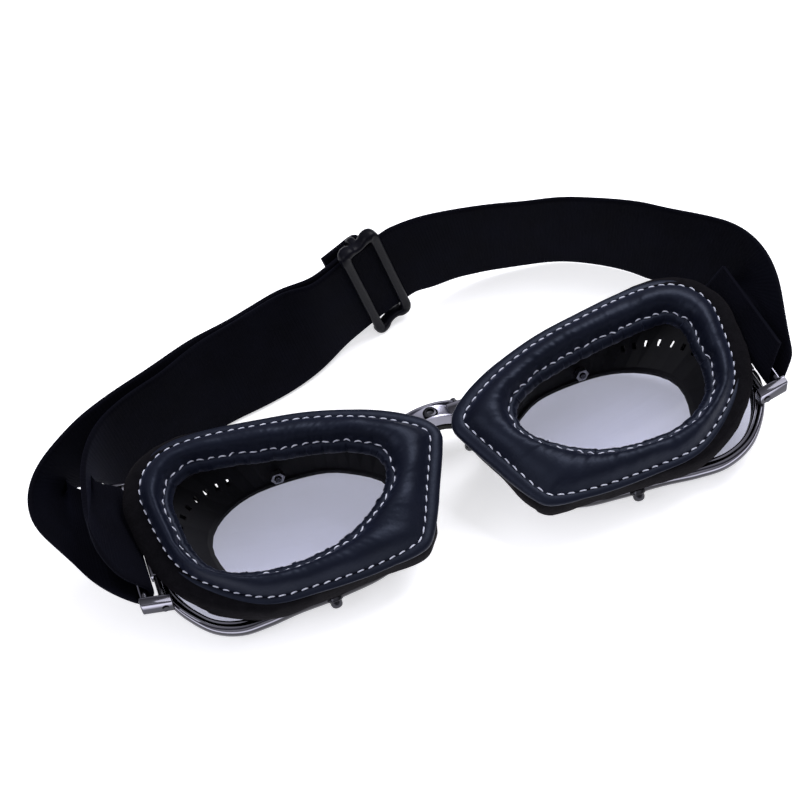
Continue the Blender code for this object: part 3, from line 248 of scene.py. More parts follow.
def smooth_line(stations, spacing):
    """An open curve through the stations, ends included, whose slopes allow for uneven distances."""
    rows = [np.array(station, dtype=float) for station in stations]
    reaches = [np.linalg.norm((after - before)[:3]) for before, after in zip(rows, rows[1:])]
    slopes = [(after - before) / reach for before, after, reach in zip(rows, rows[1:], reaches)]
    tangents = [slopes[0]]
    for index in range(1, len(slopes)):
        before, after = reaches[index - 1], reaches[index]
        tangents.append((slopes[index - 1] * after + slopes[index] * before) / (before + after))
    tangents.append(slopes[-1])
    path = []
    for index, reach in enumerate(reaches):
        count = max(round(reach / spacing), 1)
        leaving, arriving = tangents[index] * reach, tangents[index + 1] * reach
        for part in range(count):
            path.append(eased_point(rows[index], rows[index + 1], leaving, arriving, part / count))
    path.append(rows[-1])
    return np.array(path)


def outline(shares, centre, half_width, half_height, steps):
    """Points of an outline at even angles round its centre, as rows of x and y."""
    dense = smooth_round([(x * half_width, y * half_height) for x, y in shares])
    angles = np.arctan2(dense[:, 1], dense[:, 0])
    order = np.argsort(angles)
    reach = np.hypot(dense[:, 0], dense[:, 1])
    turn = 2 * math.pi * np.arange(steps) / steps
    radius = np.interp(turn, angles[order], reach[order], period=2 * math.pi)
    return np.stack([centre[0] + radius * np.cos(turn), centre[1] + radius * np.sin(turn)], axis=1)


def offset(points, distance):
    """The closed outline moved outwards; distance is one number or one for each point."""
    along = np.roll(points, -1, axis=0) - np.roll(points, 1, axis=0)
    along /= np.linalg.norm(along, axis=1)[:, None]
    out = np.stack([along[:, 1], -along[:, 0]], axis=1)
    return points + out * np.broadcast_to(np.asarray(distance, dtype=float), (len(points),))[:, None]


def arc_lengths(points):
    steps = np.linalg.norm(np.roll(points, -1, axis=0) - points, axis=1)
    return np.concatenate([[0], np.cumsum(steps)])


def lens_height(x):
    return RIM_HEIGHT / 2 + GAP + (x - LENS_LOWEST_X) ** 2 / (2 * LENS_WRAP_RADIUS)


def on_lens(points, height):
    return np.column_stack([points, lens_height(points[:, 0]) + height])


def on_face(points, height):
    """Points of the tilted face plane, at a height above it."""
    height = np.broadcast_to(np.asarray(height, dtype=float), (len(points),))
    cos, sin = math.cos(FACE_TILT), math.sin(FACE_TILT)
    y = points[:, 1] * cos - height * sin
    z = points[:, 1] * sin + height * cos + FACE_LIFT
    return np.column_stack([points[:, 0], y, z])


def ripple(length, period, seed):
    """Smooth uneven waves along a closed line, from -1 to 1."""
    source = random.Random(seed)
    total = length[-1]
    wave = np.zeros(len(length) - 1)
    weight = 0
    for factor in RIPPLE_FACTORS:
        turns = max(1, round(total / period * factor))
        size = source.uniform(0.5, 1.0)
        wave += size * np.sin(2 * math.pi * turns * length[:-1] / total + source.uniform(0, 2 * math.pi))
        weight += size
    return wave / weight * RIPPLE_GAIN


# Meshes

def to_object(name, mesh, material, side=1, smooth_angle=None):
    """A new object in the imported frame; side -1 mirrors it to the left."""
    if side < 0:
        bmesh.ops.scale(mesh, vec=(-1, 1, 1), verts=mesh.verts)
    bmesh.ops.translate(mesh, vec=SHIFT, verts=mesh.verts)
    bmesh.ops.recalc_face_normals(mesh, faces=mesh.faces)
    data = bpy.data.meshes.new(name)
    mesh.to_mesh(data)
    mesh.free()
    data.shade_smooth()
    if smooth_angle is not None:
        data.set_sharp_from_angle(angle=smooth_angle)
    data.materials.append(material)
    item = bpy.data.objects.new(name, data)
    bpy.context.scene.collection.objects.link(item)
    return item


def new_rows(mesh, rows):
    return [[mesh.verts.new(point) for point in row] for row in rows]


def join_rows(mesh, rows, closed=False, ends=False):
    """Faces between rings of vertices; closed joins the last to the first, and ends caps them."""
    count = len(rows[0])
    following_rows = rows[1:] + rows[:1] if closed else rows[1:]
    for row, following in zip(rows, following_rows):
        for step in range(count):
            beside = (step + 1) % count
            mesh.faces.new((row[step], row[beside], following[beside], following[step]))
    if ends:
        mesh.faces.new(rows[0][::-1])
        mesh.faces.new(rows[-1])


def grid_ring(rails, closed_section=True):
    """A closed ring skinned between rails, each an array with one point at each step round it."""
    mesh = bmesh.new()
    join_rows(mesh, new_rows(mesh, rails), closed=closed_section)
    return mesh


def skin_sections(sections, uvs=None):
    """A solid from equal closed sections in a row, with flat ends; uvs gives each point's place."""
    mesh = bmesh.new()
    layer = mesh.loops.layers.uv.new("UVMap") if uvs is not None else None
    rows = new_rows(mesh, sections)
    join_rows(mesh, rows, ends=True)
    if layer is not None:
        places = {vert: uv for row, row_uvs in zip(rows, uvs) for vert, uv in zip(row, row_uvs)}
        for face in mesh.faces:
            if len(face.verts) == 4:
                for loop in face.loops:
                    loop[layer].uv = places[loop.vert]
    return mesh


def stand_in(item, body, slot, *nodes):
    """Let a piece move with a body and stand for the named solids."""
    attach(item, body)
    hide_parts(*nodes)


# Materials

def node(tree, kind, settings=None, **inputs):
    made = tree.nodes.new(kind)
    for key, value in (settings or {}).items():
        setattr(made, key, value)
    for key, value in inputs.items():
        socket = made.inputs[int(key[1:])] if key[0] == "_" else made.inputs[key.replace("_", " ")]
        if isinstance(value, bpy.types.NodeSocket):
            tree.links.new(value, socket)
        else:
            socket.default_value = value
    return made


def new_material(name, **sockets):
    material = bpy.data.materials.new(name)
    material.use_nodes = True
    shader = material.node_tree.nodes["Principled BSDF"]
    for key, value in sockets.items():
        shader.inputs[key.replace("_", " ")].default_value = value
    return material, material.node_tree, shader


def ramp(tree, value, stops):
    made = tree.nodes.new("ShaderNodeValToRGB")
    points = made.color_ramp.elements
    while len(points) < len(stops):
        points.new(0.5)
    for point, (place, colour) in zip(points, stops):
        point.position = place
        point.color = (*colour, 1.0) if len(colour) == 3 else colour
    tree.links.new(value, made.inputs["Fac"])
    return made.outputs["Color"]


def between(tree, value, low, high):
    made = node(tree, "ShaderNodeMapRange", _0=value)
    made.inputs["To Min"].default_value = low
    made.inputs["To Max"].default_value = high
    return made.outputs["Result"]


def noise(tree, vector, scale, detail=3.0, roughness=0.5):
    made = node(tree, "ShaderNodeTexNoise", Vector=vector, Scale=scale, Detail=detail, Roughness=roughness)
    return made.outputs["Fac"]


def object_place(tree):
    return tree.nodes.new("ShaderNodeTexCoord").outputs["Object"]


def bumps(tree, shader, *layers):
    """Stack height layers, each (value, strength, distance), onto the shader's normal."""
    normal = None
    for value, strength, distance in layers:
        made = node(tree, "ShaderNodeBump", Height=value, Strength=strength, Distance=distance)
        if normal is not None:
            tree.links.new(normal, made.inputs["Normal"])
        normal = made.outputs["Normal"]
    tree.links.new(normal, shader.inputs["Normal"])


def leather_material():
    material, tree, shader = new_material("navy_leather", Specular_IOR_Level=0.22, Sheen_Weight=0.05,
                                          Sheen_Roughness=0.5, Sheen_Tint=(0.45, 0.55, 1.0, 1.0),
                                          Specular_Tint=(0.62, 0.72, 1.0, 1.0))
    place = object_place(tree)
    broad = noise(tree, place, 70.0, 4.0)
    colour = ramp(tree, broad, [(0.3, (0.0015, 0.0020, 0.0056)), (0.7, (0.0030, 0.0038, 0.0096))])
    tree.links.new(colour, shader.inputs["Base Color"])
    tree.links.new(between(tree, noise(tree, place, 160.0), 0.38, 0.54), shader.inputs["Roughness"])
    cells = node(tree, "ShaderNodeTexVoronoi", {"feature": "SMOOTH_F1"}, Vector=place, Scale=1300.0)
    bumps(tree, shader, (noise(tree, place, 260.0), 0.25, 0.0006), (cells.outputs["Distance"], 0.35, 0.0001),
          (noise(tree, place, 3400.0, 2.0), 0.2, 0.00005))
    return material


def suede_material():
    material, tree, shader = new_material("black_suede", Roughness=0.95, Specular_IOR_Level=0.04,
                                          Sheen_Weight=0.035, Sheen_Roughness=0.6,
                                          Sheen_Tint=(0.6, 0.55, 0.6, 1.0))
    place = object_place(tree)
    colour = ramp(tree, noise(tree, place, 420.0, 5.0, 0.7),
                  [(0.3, (0.0014, 0.0014, 0.0022)), (0.75, (0.0046, 0.0044, 0.0060))])
    tree.links.new(colour, shader.inputs["Base Color"])
    bumps(tree, shader, (noise(tree, place, 900.0, 4.0, 0.7), 0.6, 0.0003),
          (noise(tree, place, 4200.0, 2.0), 0.5, 0.0001))
    return material


def webbing_material():
    material, tree, shader = new_material("elastic_webbing", Specular_IOR_Level=0.04, Sheen_Weight=0.025,
                                          Sheen_Roughness=0.45, Sheen_Tint=(0.45, 0.5, 0.95, 1.0))
    place = tree.nodes.new("ShaderNodeUVMap").outputs["UV"]
    ribs = node(tree, "ShaderNodeTexWave", {"bands_direction": "X", "wave_profile": "SIN"},
                Vector=place, Scale=290.0, Distortion=0.4, Detail=1.0)
    threads = node(tree, "ShaderNodeTexWave", {"bands_direction": "Y", "wave_profile": "SIN"},
                   Vector=place, Scale=520.0, Distortion=0.3)
    broad = noise(tree, place, 90.0, 4.0)
    colour = ramp(tree, broad, [(0.3, (0.0012, 0.0012, 0.0026)), (0.72, (0.0026, 0.0027, 0.0055))])
    tree.links.new(colour, shader.inputs["Base Color"])
    tree.links.new(between(tree, broad, 0.78, 0.95), shader.inputs["Roughness"])
    bumps(tree, shader, (ribs.outputs["Fac"], 0.35, 0.00015), (threads.outputs["Fac"], 0.3, 0.0001),
          (noise(tree, place, 2600.0, 2.0), 0.3, 0.0001))
    return material


def chrome_material(name, colour, roughness, painted_bands=()):
    """Metal; the bands are painted reflections, dark and light bands painted into its colour by how far the
    surface turns from the eye, each (share of the turn away from the eye, share of the colour).
    """
    material, tree, shader = new_material(name, Metallic=1.0, Base_Color=(*colour, 1.0))
    place = object_place(tree)
    if painted_bands:
        # Painted reflections: the colour darkens and lightens in bands as the surface turns away from the eye
        facing = node(tree, "ShaderNodeLayerWeight").outputs["Facing"]
        stops = [(turned, tuple(value * share for value in colour)) for turned, share in painted_bands]
        tree.links.new(ramp(tree, facing, stops), shader.inputs["Base Color"])
    smudge = noise(tree, place, 260.0, 4.0, 0.6)
    tree.links.new(between(tree, smudge, roughness * 0.7, roughness * 1.5), shader.inputs["Roughness"])
    bumps(tree, shader, (noise(tree, place, 420.0, 2.0), 0.05, 0.0002))
    return material


def plastic_material(name, colour, shine, low, high, grain, strength):
    """Plastic, rubber or foam; low and high bound its roughness, grain and strength are its bumps."""
    material, tree, shader = new_material(name, Specular_IOR_Level=shine)
    place = object_place(tree)
    cloud = noise(tree, place, 180.0, 4.0)
    lighter = tuple(value * 1.5 for value in colour)
    tree.links.new(ramp(tree, cloud, [(0.3, colour), (0.75, lighter)]), shader.inputs["Base Color"])
    tree.links.new(between(tree, cloud, low, high), shader.inputs["Roughness"])
    bumps(tree, shader, (noise(tree, place, grain, 3.0), strength, 0.0001))
    return material


def lens_material():
    material, tree, shader = new_material("clear_lens", Base_Color=(0.58, 0.59, 0.70, 1.0), IOR=1.45,
                                          Transmission_Weight=1.0)
    place = object_place(tree)
    tree.links.new(between(tree, noise(tree, place, 60.0, 4.0), 0.01, 0.04), shader.inputs["Roughness"])
    return material


def thread_material():
    material, tree, shader = new_material("stitch_thread", Specular_IOR_Level=0.3, Roughness=0.6)
    place = object_place(tree)
    colour = ramp(tree, noise(tree, place, 900.0, 3.0),
                  [(0.3, (0.44, 0.46, 0.57)), (0.7, (0.68, 0.70, 0.80))])
    tree.links.new(colour, shader.inputs["Base Color"])
    bumps(tree, shader, (noise(tree, place, 4200.0, 2.0), 0.5, 0.0001))
    return material


# Painted reflections of the chrome: dark and light bands painted into its colour by how far the surface turns
# from the eye; share of the turn away from the eye, share of the colour
CHROME_PAINTED_REFLECTIONS = [(0.0, 0.30), (0.16, 0.14), (0.26, 0.10), (0.33, 0.95), (0.40, 0.12), (0.60, 0.07),
                (0.72, 0.10), (0.80, 0.70), (0.88, 0.12), (1.0, 0.60)]
FINISH = {
    # The chrome's dark and light bands are painted reflections
    "chrome": chrome_material("gunmetal_chrome", (0.52, 0.51, 0.60), 0.10, CHROME_PAINTED_REFLECTIONS),
    "cast_metal": chrome_material("cast_nickel", (0.38, 0.375, 0.45), 0.30),
    "zinc": chrome_material("dull_zinc", (0.26, 0.26, 0.28), 0.32),
    "black_steel": chrome_material("blackened_steel", (0.045, 0.045, 0.052), 0.24),
    "rubber": plastic_material("gasket_rubber", (0.003, 0.003, 0.0045), 0.25, 0.45, 0.65, 900.0, 0.2),
    "plastic": plastic_material("moulded_plastic", (0.0040, 0.0040, 0.0060), 0.2, 0.5, 0.7, 1500.0, 0.15),
    "gloss_plastic": plastic_material("slider_plastic", (0.0022, 0.0022, 0.0045), 0.08, 0.3, 0.38, 1200.0,
                                      0.1),
    "lens": lens_material(),
    "leather": leather_material(),
    "suede": suede_material(),
    "foam": plastic_material("cushion_foam", (0.012, 0.012, 0.016), 0.1, 0.9, 1.0, 700.0, 0.8),
    "webbing": webbing_material(),
    "thread": thread_material(),
}


# The finish of each CAD node that stays, by the end of its name; the strap's nodes have none of these ends
NODE_FINISH = {"rim": "chrome", "lens_gasket": "rubber", "lens": "lens", "cup": "plastic",
               "side_wall": "suede", "foam": "foam", "cushion": "leather", "screw": "black_steel",
               "nut": "zinc", "pin": "black_steel", "clip": "chrome", "bridge_housing": "chrome",
               "bridge_pad": "rubber", "slider": "gloss_plastic"}
METAL_EDGE = 0.00018
METAL_EDGE_ANGLE = math.radians(35.0)


def dress_nodes():
    """Give every CAD node that stays the finish of its slot, and soft edges if it is metal."""
    for name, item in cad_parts.items():
        key = next((key for key in sorted(NODE_FINISH, key=len, reverse=True) if name.endswith(key)), None)
        finish = NODE_FINISH.get(key, "webbing")
        item.data.materials.clear()
        item.data.materials.append(FINISH[finish])
        if finish in ("chrome", "black_steel", "zinc") and not name.endswith("rim"):
            bevel = item.modifiers.new("soft_edges", "BEVEL")
            bevel.width = METAL_EDGE
            bevel.segments = 2
            bevel.limit_method = "ANGLE"
            bevel.angle_limit = METAL_EDGE_ANGLE
            bevel.harden_normals = True


# Cushions

# The sections of the leather and of the foam, in runs: the rail, then rows of the share along that rail's
# reach and the height in millimetres
LEATHER_RUNS = [
    ("roll", [(0.60, -4.00), (0.86, -3.60), (1.00, -2.90), (1.00, -2.20), (0.93, -1.62), (0.78, -1.10),
              (0.58, -0.72), (0.36, -0.56), (0.16, -0.58), (0.05, -0.72)]),
    ("across", [(1.00, -0.84), (0.985, -0.56), (0.95, 0.00), (0.90, 0.80), (0.84, 1.65), (0.76, 2.60),
                (0.66, 3.40), (0.55, 3.90), (0.44, 4.12), (0.33, 3.98), (0.23, 3.35), (0.14, 2.30),
                (0.07, 0.95), (0.025, -0.30), (0.00, -0.80)]),
    ("flap", [(0.12, -0.72), (0.32, -0.72), (0.55, -1.05), (0.78, -1.75), (0.94, -2.60), (1.00, -3.40),
              (0.94, -3.85), (0.78, -3.95), (0.60, -4.10)]),
    ("across", [(0.10, -1.70), (0.32, 2.60), (0.68, 1.90), (0.92, -0.90)]),
    ("roll", [(0.20, -2.60), (0.40, -3.90)])]
FOAM_RUNS = [("across", [(0.16, -1.60), (0.34, 1.80), (0.66, 1.20), (0.86, -1.20), (0.80, -4.10),
                         (0.20, -4.10)])]
ROLL_TOP = -0.00056
EYE_SHIFT_SHARES = [(-180, 0.0), (-50, 0.0), (-20, 0.55), (15, 1.0), (45, 0.7), (80, 0.15), (110, 0.0)]
LEFT_EYE_SHIFT = 0.0030

# Waves of the leather: the puckers, the fine and the broad ones, then those of the suede's hem
WAVE_PERIODS = (0.0075, 0.0036, 0.024)
HEM_PERIOD = 0.012
EYE_PUCKER = 0.00042
EYE_FINE_WAVE = 0.00016
FLAP_PUCKER_SHARE = 0.22
FLAP_RISE = 0.00045
PUCKER_RISE = 0.00068
PUCKER_SPAN_SHARE = 0.30
PUCKER_START_SHARE = 0.10
FINE_RISE = 0.00030
FINE_SHARE = 0.2
BROAD_RISE = 0.00050
LOWEST_WAVED_HEIGHT = -1.0

# Stitches: soft-ended threads, which arch out of the leather
THREAD_RADIUS = 0.00022
THREAD_SIDES = 8
THREAD_DEPTH_SHARE = 0.75
STITCH_WIDTH_SHARES = (0.55, 0.9, 1, 1, 1, 0.9, 0.55)
STITCH_ARCH = np.array((-0.30, 0.02, 0.12, 0.16, 0.12, 0.02, -0.30)) * MM
STITCH_HEIGHT = -0.00052
STITCH_SLANT = 0.00012
STITCH_TILT = 0.00008
STITCH_SHARE = 0.66
STITCH_DRIFT_SHARE = 0.05
STITCH_REACH_SHARES = (0.92, 1.06)
SEAM_PITCH = 0.0032
EYE_PITCH = 0.0031

# Round the cushion from the temple: angle in degrees, then a share or a distance in millimetres
ROLL_SHARES = [(-180, 1.02), (-158, 1.02), (-140, 0.84), (-124, 0.58), (-60, 0.52), (0, 0.54), (60, 0.60),
               (110, 0.68), (140, 0.80), (160, 1.00)]
DROP_SHARES = [(-180, 1.0), (-158, 1.0), (-140, 0.75), (-124, 0.42), (-60, 0.36), (60, 0.40), (110, 0.50),
               (140, 0.75), (160, 1.0)]
SKIRT_REACH = [(-180, 2.5), (-160, 3.0), (-146, 3.6), (-136, 3.0), (-126, 1.6), (-118, 1.2), (-98, 1.7),
               (-88, 2.1), (-74, 2.7), (-63, 3.3), (-48, 4.3), (-34, 5.4), (-20, 5.8), (-8, 6.1), (4, 6.0),
               (16, 5.9), (28, 5.0), (42, 3.9), (60, 2.9), (90, 2.3), (130, 2.2), (160, 2.4)]
# Rows of the skirt under the leather: shares of its reach, of the roll and of the hem's waves, and the depth
SKIRT_TUCK = [(0.0, 0.30, 0, 0.0), (0.0, 0.72, 0, 0.0001), (0.78, 0.74, 0, 0.0007), (0.96, 0.0, 1, 0.0019)]
TUCK_DEPTH = 0.0013
# Rows of the skirt on the cup's wall: the height over its foot and how far it stands off
SKIRT_WALL = [(0.0096, 0.0009), (0.0076, 0.0003), (0.0052, 0.0), (0.0046, 0.0)]
# Rows of the skirt where it hangs free: shares of the way from its side to its hem
SKIRT_FREE_SHARES = (0, 0.3, 0.7, 1)
SKIRT_SIDE_DEPTH = 0.0066
SKIRT_WAVE = 0.00018
HEM_DEPTH = 0.0088
HEM_INSET = 0.0003
HEM_WAVE = 0.00028
VENT_ROW = 5
VENT_STEPS = 1
SKIRT_HANG_SHARES = [(-180, 0.0), (-158, 0.35), (-140, 1.0), (-30, 1.0), (-14, 0.35), (0, 0.0), (170, 0.0)]


def round_table(table, points, centre):
    """Values of a table read at the angles of the points round a centre."""
    angles = np.degrees(np.arctan2(points[:, 1] - centre[1], points[:, 0] - centre[0]))
    places = np.array([row[0] for row in table], dtype=float)
    values = np.array([row[1] for row in table], dtype=float)
    return np.interp(angles, places, values, period=360)


def seam_line():
    return outline(CUSHION_OUTLINE_SHARES, CUSHION_CENTRE, CUSHION_HALF_WIDTH, CUSHION_HALF_HEIGHT,
                   CUSHION_STEPS)


class Pad:
    """The shape of one cushion: its two seams, its waves and where its surface is."""

    def __init__(self, seed, eye_shift):
        self.seam = seam_line()
        eye = outline(EYE_OUTLINE_SHARES, EYE_CENTRE, EYE_HALF_WIDTH, EYE_HALF_HEIGHT, CUSHION_STEPS)
        eye = offset(eye, round_table(EYE_SHIFT_SHARES, eye, EYE_CENTRE) * eye_shift)
        around = arc_lengths(eye)
        self.pucker, self.fine, self.broad = (ripple(around, period, seed + index)
                                              for index, period in enumerate(WAVE_PERIODS))
        self.hem = ripple(arc_lengths(self.seam), HEM_PERIOD, seed + len(WAVE_PERIODS))
        self.eye = offset(eye, EYE_PUCKER * self.pucker + EYE_FINE_WAVE * self.fine)
        self.roll = ROLL_REACH * round_table(ROLL_SHARES, self.seam, CUSHION_CENTRE)
        self.drop = round_table(DROP_SHARES, self.seam, CUSHION_CENTRE)

    def rail(self, name, share):
        if name == "roll":
            return offset(self.seam, self.roll * share)
        if name == "flap":
            wavy = FLAP_REACH * share * (1 + FLAP_PUCKER_SHARE * self.pucker * share)
            return offset(self.eye, -wavy)
        return self.eye + (self.seam - self.eye) * share

    def points(self, name, share, height):
        """Points at a share of a rail's reach and a height, with the leather's waves on its outer side."""
        rise = height * MM * np.ones(len(self.seam))
        if name == "across" and height > LOWEST_WAVED_HEIGHT and 0 < share < 1:
            near_eye = math.exp(-(share / PUCKER_SPAN_SHARE) ** 2)
            rise += PUCKER_RISE * near_eye * self.pucker * min(1.0, share / PUCKER_START_SHARE)
            rise += FINE_RISE * math.exp(-((share - FINE_SHARE) / FINE_SHARE) ** 2) * self.fine
            rise += BROAD_RISE * self.broad * math.sin(math.pi * share)
        if name == "flap":
            rise += FLAP_RISE * self.pucker * share
        if name == "roll":
            rise = ROLL_TOP + (rise - ROLL_TOP) * self.drop
        return on_face(self.rail(name, share), rise)

    def ring(self, runs):
        """A closed ring with the section that the runs give."""
        return grid_ring([self.points(name, *row) for name, rows in runs for row in rows])


def wall_line():
    """Foot and top of the cup wall's outer face, and the way out from it, at each step."""
    opening = outline(OPENING_OUTLINE_SHARES, OPENING_CENTRE, OPENING_HALF_WIDTH, OPENING_HALF_HEIGHT,
                      CUSHION_STEPS)
    foot = on_lens(offset(opening, CUP_FLOOR_WIDTH), LENS_THICKNESS / 2 + GAP)
    top = on_face(offset(seam_line(), FLANGE_REACH), -ROLL_DROP - FLANGE_WALL)
    middle = foot + top
    along = np.roll(middle, -1, axis=0) - np.roll(middle, 1, axis=0)
    out = np.cross(along, top - foot)
    return foot, top, out / np.linalg.norm(out, axis=1)[:, None]


def skirt_rails(pad):
    """Rails of the suede skirt, from under the leather's edge down to its cut hem."""
    foot, top, out = wall_line()
    rise = (top - foot)[:, 2:]
    reach = round_table(SKIRT_REACH, pad.seam, CUSHION_CENTRE) * MM
    hang = round_table(SKIRT_HANG_SHARES, pad.seam, CUSHION_CENTRE)[:, None]
    wave = pad.hem * SKIRT_WAVE
    tuck = -ROLL_TOP + TUCK_DEPTH * pad.drop
    rails = []
    for reach_share, roll_share, wave_share, depth in SKIRT_TUCK:
        outwards = np.maximum(reach * reach_share, pad.roll * roll_share) + wave * wave_share
        rails.append(on_face(offset(pad.seam, outwards), -tuck - depth))
    side = on_face(offset(pad.seam, reach + wave), -SKIRT_SIDE_DEPTH)
    hem = on_face(offset(pad.seam, reach - HEM_INSET), -HEM_DEPTH + HEM_WAVE * pad.hem)
    for (height, outwards), share in zip(SKIRT_WALL, SKIRT_FREE_SHARES):
        on_wall = foot + (top - foot) * (height / rise) + out * (SUEDE_GAP + SUEDE + outwards)
        rails.append(on_wall * (1 - hang) + (side * (1 - share) + hem * share) * hang)
    return rails, out


def vent_columns(steps):
    """First and last step of the skin left out at each vent."""
    for index in range(VENT_COUNT):
        angle = VENT_FIRST + (VENT_LAST - VENT_FIRST) * index / (VENT_COUNT - 1)
        middle = round(angle / (2 * math.pi) * steps)
        yield middle, middle + VENT_STEPS


def make_skirt(name, side, pad):
    """The suede as two skins, joined at its edges and round each vent."""
    outer, out = skirt_rails(pad)
    mesh = bmesh.new()
    near, far = new_rows(mesh, outer), new_rows(mesh, [rail - out * SUEDE for rail in outer])
    count = len(pad.seam)
    vents = list(vent_columns(count))
    open_steps = {step % count for first, last in vents for step in range(first, last)}
    last_row = len(outer) - 1
    for skin in (near, far):
        for row in range(last_row):
            for step in range(count):
                if row != VENT_ROW or step not in open_steps:
                    beside = (step + 1) % count
                    mesh.faces.new((skin[row][step], skin[row][beside],
                                    skin[row + 1][beside], skin[row + 1][step]))
    rims = [(row, step) for row in (0, last_row) for step in range(count)]
    rims += [(row, step) for row in (VENT_ROW, VENT_ROW + 1) for step in sorted(open_steps)]
    for row, step in rims:
        beside = (step + 1) % count
        mesh.faces.new((near[row][step], near[row][beside], far[row][beside], far[row][step]))
    for step in [step % count for vent in vents for step in vent]:
        mesh.faces.new((near[VENT_ROW][step], near[VENT_ROW + 1][step],
                        far[VENT_ROW + 1][step], far[VENT_ROW][step]))
    skirt = to_object(f"{name}_suede_skirt", mesh, FINISH["suede"], side, SUEDE_CREASE)
    stand_in(skirt, f"{name}_cup", "suede", f"{name}_side_wall")


def thread_rings(points, normal):
    """Rings of a soft-ended thread through the points."""
    rings = []
    for index, point in enumerate(points):
        along = points[min(index + 1, len(points) - 1)] - points[max(index - 1, 0)]
        along /= np.linalg.norm(along)
        up = normal - along * normal.dot(along)
        up /= np.linalg.norm(up)
        across = np.cross(along, up)
        radius = THREAD_RADIUS * STITCH_WIDTH_SHARES[index]
        angles = [2 * math.pi * turn / THREAD_SIDES for turn in range(THREAD_SIDES)]
        rings.append([point + (across * math.cos(angle) + up * math.sin(angle) * THREAD_DEPTH_SHARE) * radius
                      for angle in angles])
    return rings


def stitch_line(mesh, line, pitch, seed):
    """Sew stitches along a closed line on the face plane."""
    source = random.Random(seed)
    length = arc_lengths(line)
    closed = np.vstack([line, line[:1]])
    count = round(length[-1] / pitch)
    pitch = length[-1] / count
    normal = np.array([0, -math.sin(FACE_TILT), math.cos(FACE_TILT)])
    points_each = len(STITCH_ARCH)
    for index in range(count):
        start = index * pitch + source.uniform(-STITCH_DRIFT_SHARE, STITCH_DRIFT_SHARE) * pitch
        reach = pitch * STITCH_SHARE * source.uniform(*STITCH_REACH_SHARES)
        places = start + reach * np.linspace(0, 1, points_each)
        points = np.stack([np.interp(places % length[-1], length, closed[:, axis]) for axis in (0, 1)],
                          axis=1)
        slant = source.uniform(-STITCH_TILT, STITCH_TILT) + STITCH_SLANT
        way = points[-1] - points[0]
        way /= np.linalg.norm(way)
        points = points + np.outer(np.linspace(-1, 1, points_each) * slant, [way[1], -way[0]])
        rings = thread_rings(on_face(points, STITCH_HEIGHT + STITCH_ARCH), normal)
        join_rows(mesh, new_rows(mesh, rings), ends=True)


def make_cushion(name, side, seed):
    pad = Pad(seed, LEFT_EYE_SHIFT if side < 0 else 0)
    cushion = to_object(f"{name}_cushion_leather", pad.ring(LEATHER_RUNS), FINISH["leather"], side)
    stand_in(cushion, f"{name}_cup", "leather", f"{name}_cushion")
    foam = to_object(f"{name}_cushion_foam", pad.ring(FOAM_RUNS), FINISH["foam"], side)
    stand_in(foam, f"{name}_cup", "foam", f"{name}_foam")
    mesh = bmesh.new()
    stitch_line(mesh, pad.seam, SEAM_PITCH, seed + 5)
    stitch_line(mesh, pad.eye, EYE_PITCH, seed + 6)
    thread = to_object(f"{name}_cushion_stitches", mesh, FINISH["thread"], side)
    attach(thread, f"{name}_cup")
    make_skirt(name, side, pad)


# Rims and lenses

# Sections of the rim and of the gasket: depth in from the rim's edge and height, in millimetres
RIM_SECTION = [
    (1.00, -2.10), (0.92, 2.10), (2.62, 2.10), (3.00, 2.24), (3.06, 2.52), (2.90, 2.78), (2.60, 2.86),
    (2.30, 2.76), (2.10, 2.56), (1.90, 2.46), (1.66, 2.56), (1.42, 2.84), (1.08, 3.00), (0.66, 2.92),
    (0.26, 2.58), (-0.02, 2.02), (-0.18, 1.34), (-0.22, 0.60), (-0.14, -0.14), (0.06, -0.86), (0.34, -1.50),
    (0.68, -2.06), (1.06, -2.50), (1.46, -2.80), (1.90, -2.96), (2.60, -3.00), (2.96, -2.86), (3.04, -2.50),
    (2.90, -2.16), (2.60, -2.10)]
GASKET_SECTION = [
    (1.15, -1.95), (1.15, 1.95), (3.05, 1.95), (3.40, 1.70), (3.50, 1.30), (3.40, 1.02), (2.30, 1.00),
    (2.30, -1.00), (3.40, -1.02), (3.50, -1.30), (3.40, -1.70), (3.05, -1.95)]
# How far a rim stands out past its solid, in millimetres, round it from the temple
RIM_SPREADS = {"left": [(0, 0.0)],
               "right": [(-180, 0.0), (-90, 0.0), (-60, 0.9), (-30, 1.9), (-8, 2.2), (12, 1.4), (35, 0.0)]}


CREASE = math.radians(40.0)
SUEDE_CREASE = math.radians(50.0)
ROUND_CREASE = math.radians(60.0)
TAB_SOFTNESS = 0.0005
LUG_SOFTNESS = 0.0004
PLATE_SOFTNESS = 0.00045
CLIP_NEAR_DEPTH = 0.0030
LENS_RING_SHARES = [*np.linspace(0.04, 0.97, 16), 0.995]
LENS_EDGE_SHARE = 0.6


def rim_edge(name):
    edge = outline(RIM_OUTLINE_SHARES, RIM_CENTRE, RIM_HALF_WIDTH, RIM_HALF_HEIGHT, RIM_STEPS)
    return offset(edge, round_table(RIM_SPREADS[name], edge, RIM_CENTRE) * MM)


def rim_rails(edge, section):
    return [on_lens(offset(edge, -depth * MM), height * MM) for depth, height in section]


def rounded_block(mesh, low, high, softness):
    """Add a box with rounded edges to a mesh."""
    made = bmesh.ops.create_cube(mesh, size=1)["verts"]
    low, high = Vector(low), Vector(high)
    place = Matrix.Translation((low + high) / 2) @ Matrix.Diagonal((*(high - low), 1))
    bmesh.ops.transform(mesh, matrix=place, verts=made)
    edges = list({edge for vert in made for edge in vert.link_edges})
    bmesh.ops.bevel(mesh, geom=edges, offset=softness, segments=3, profile=0.5, affect="EDGES")


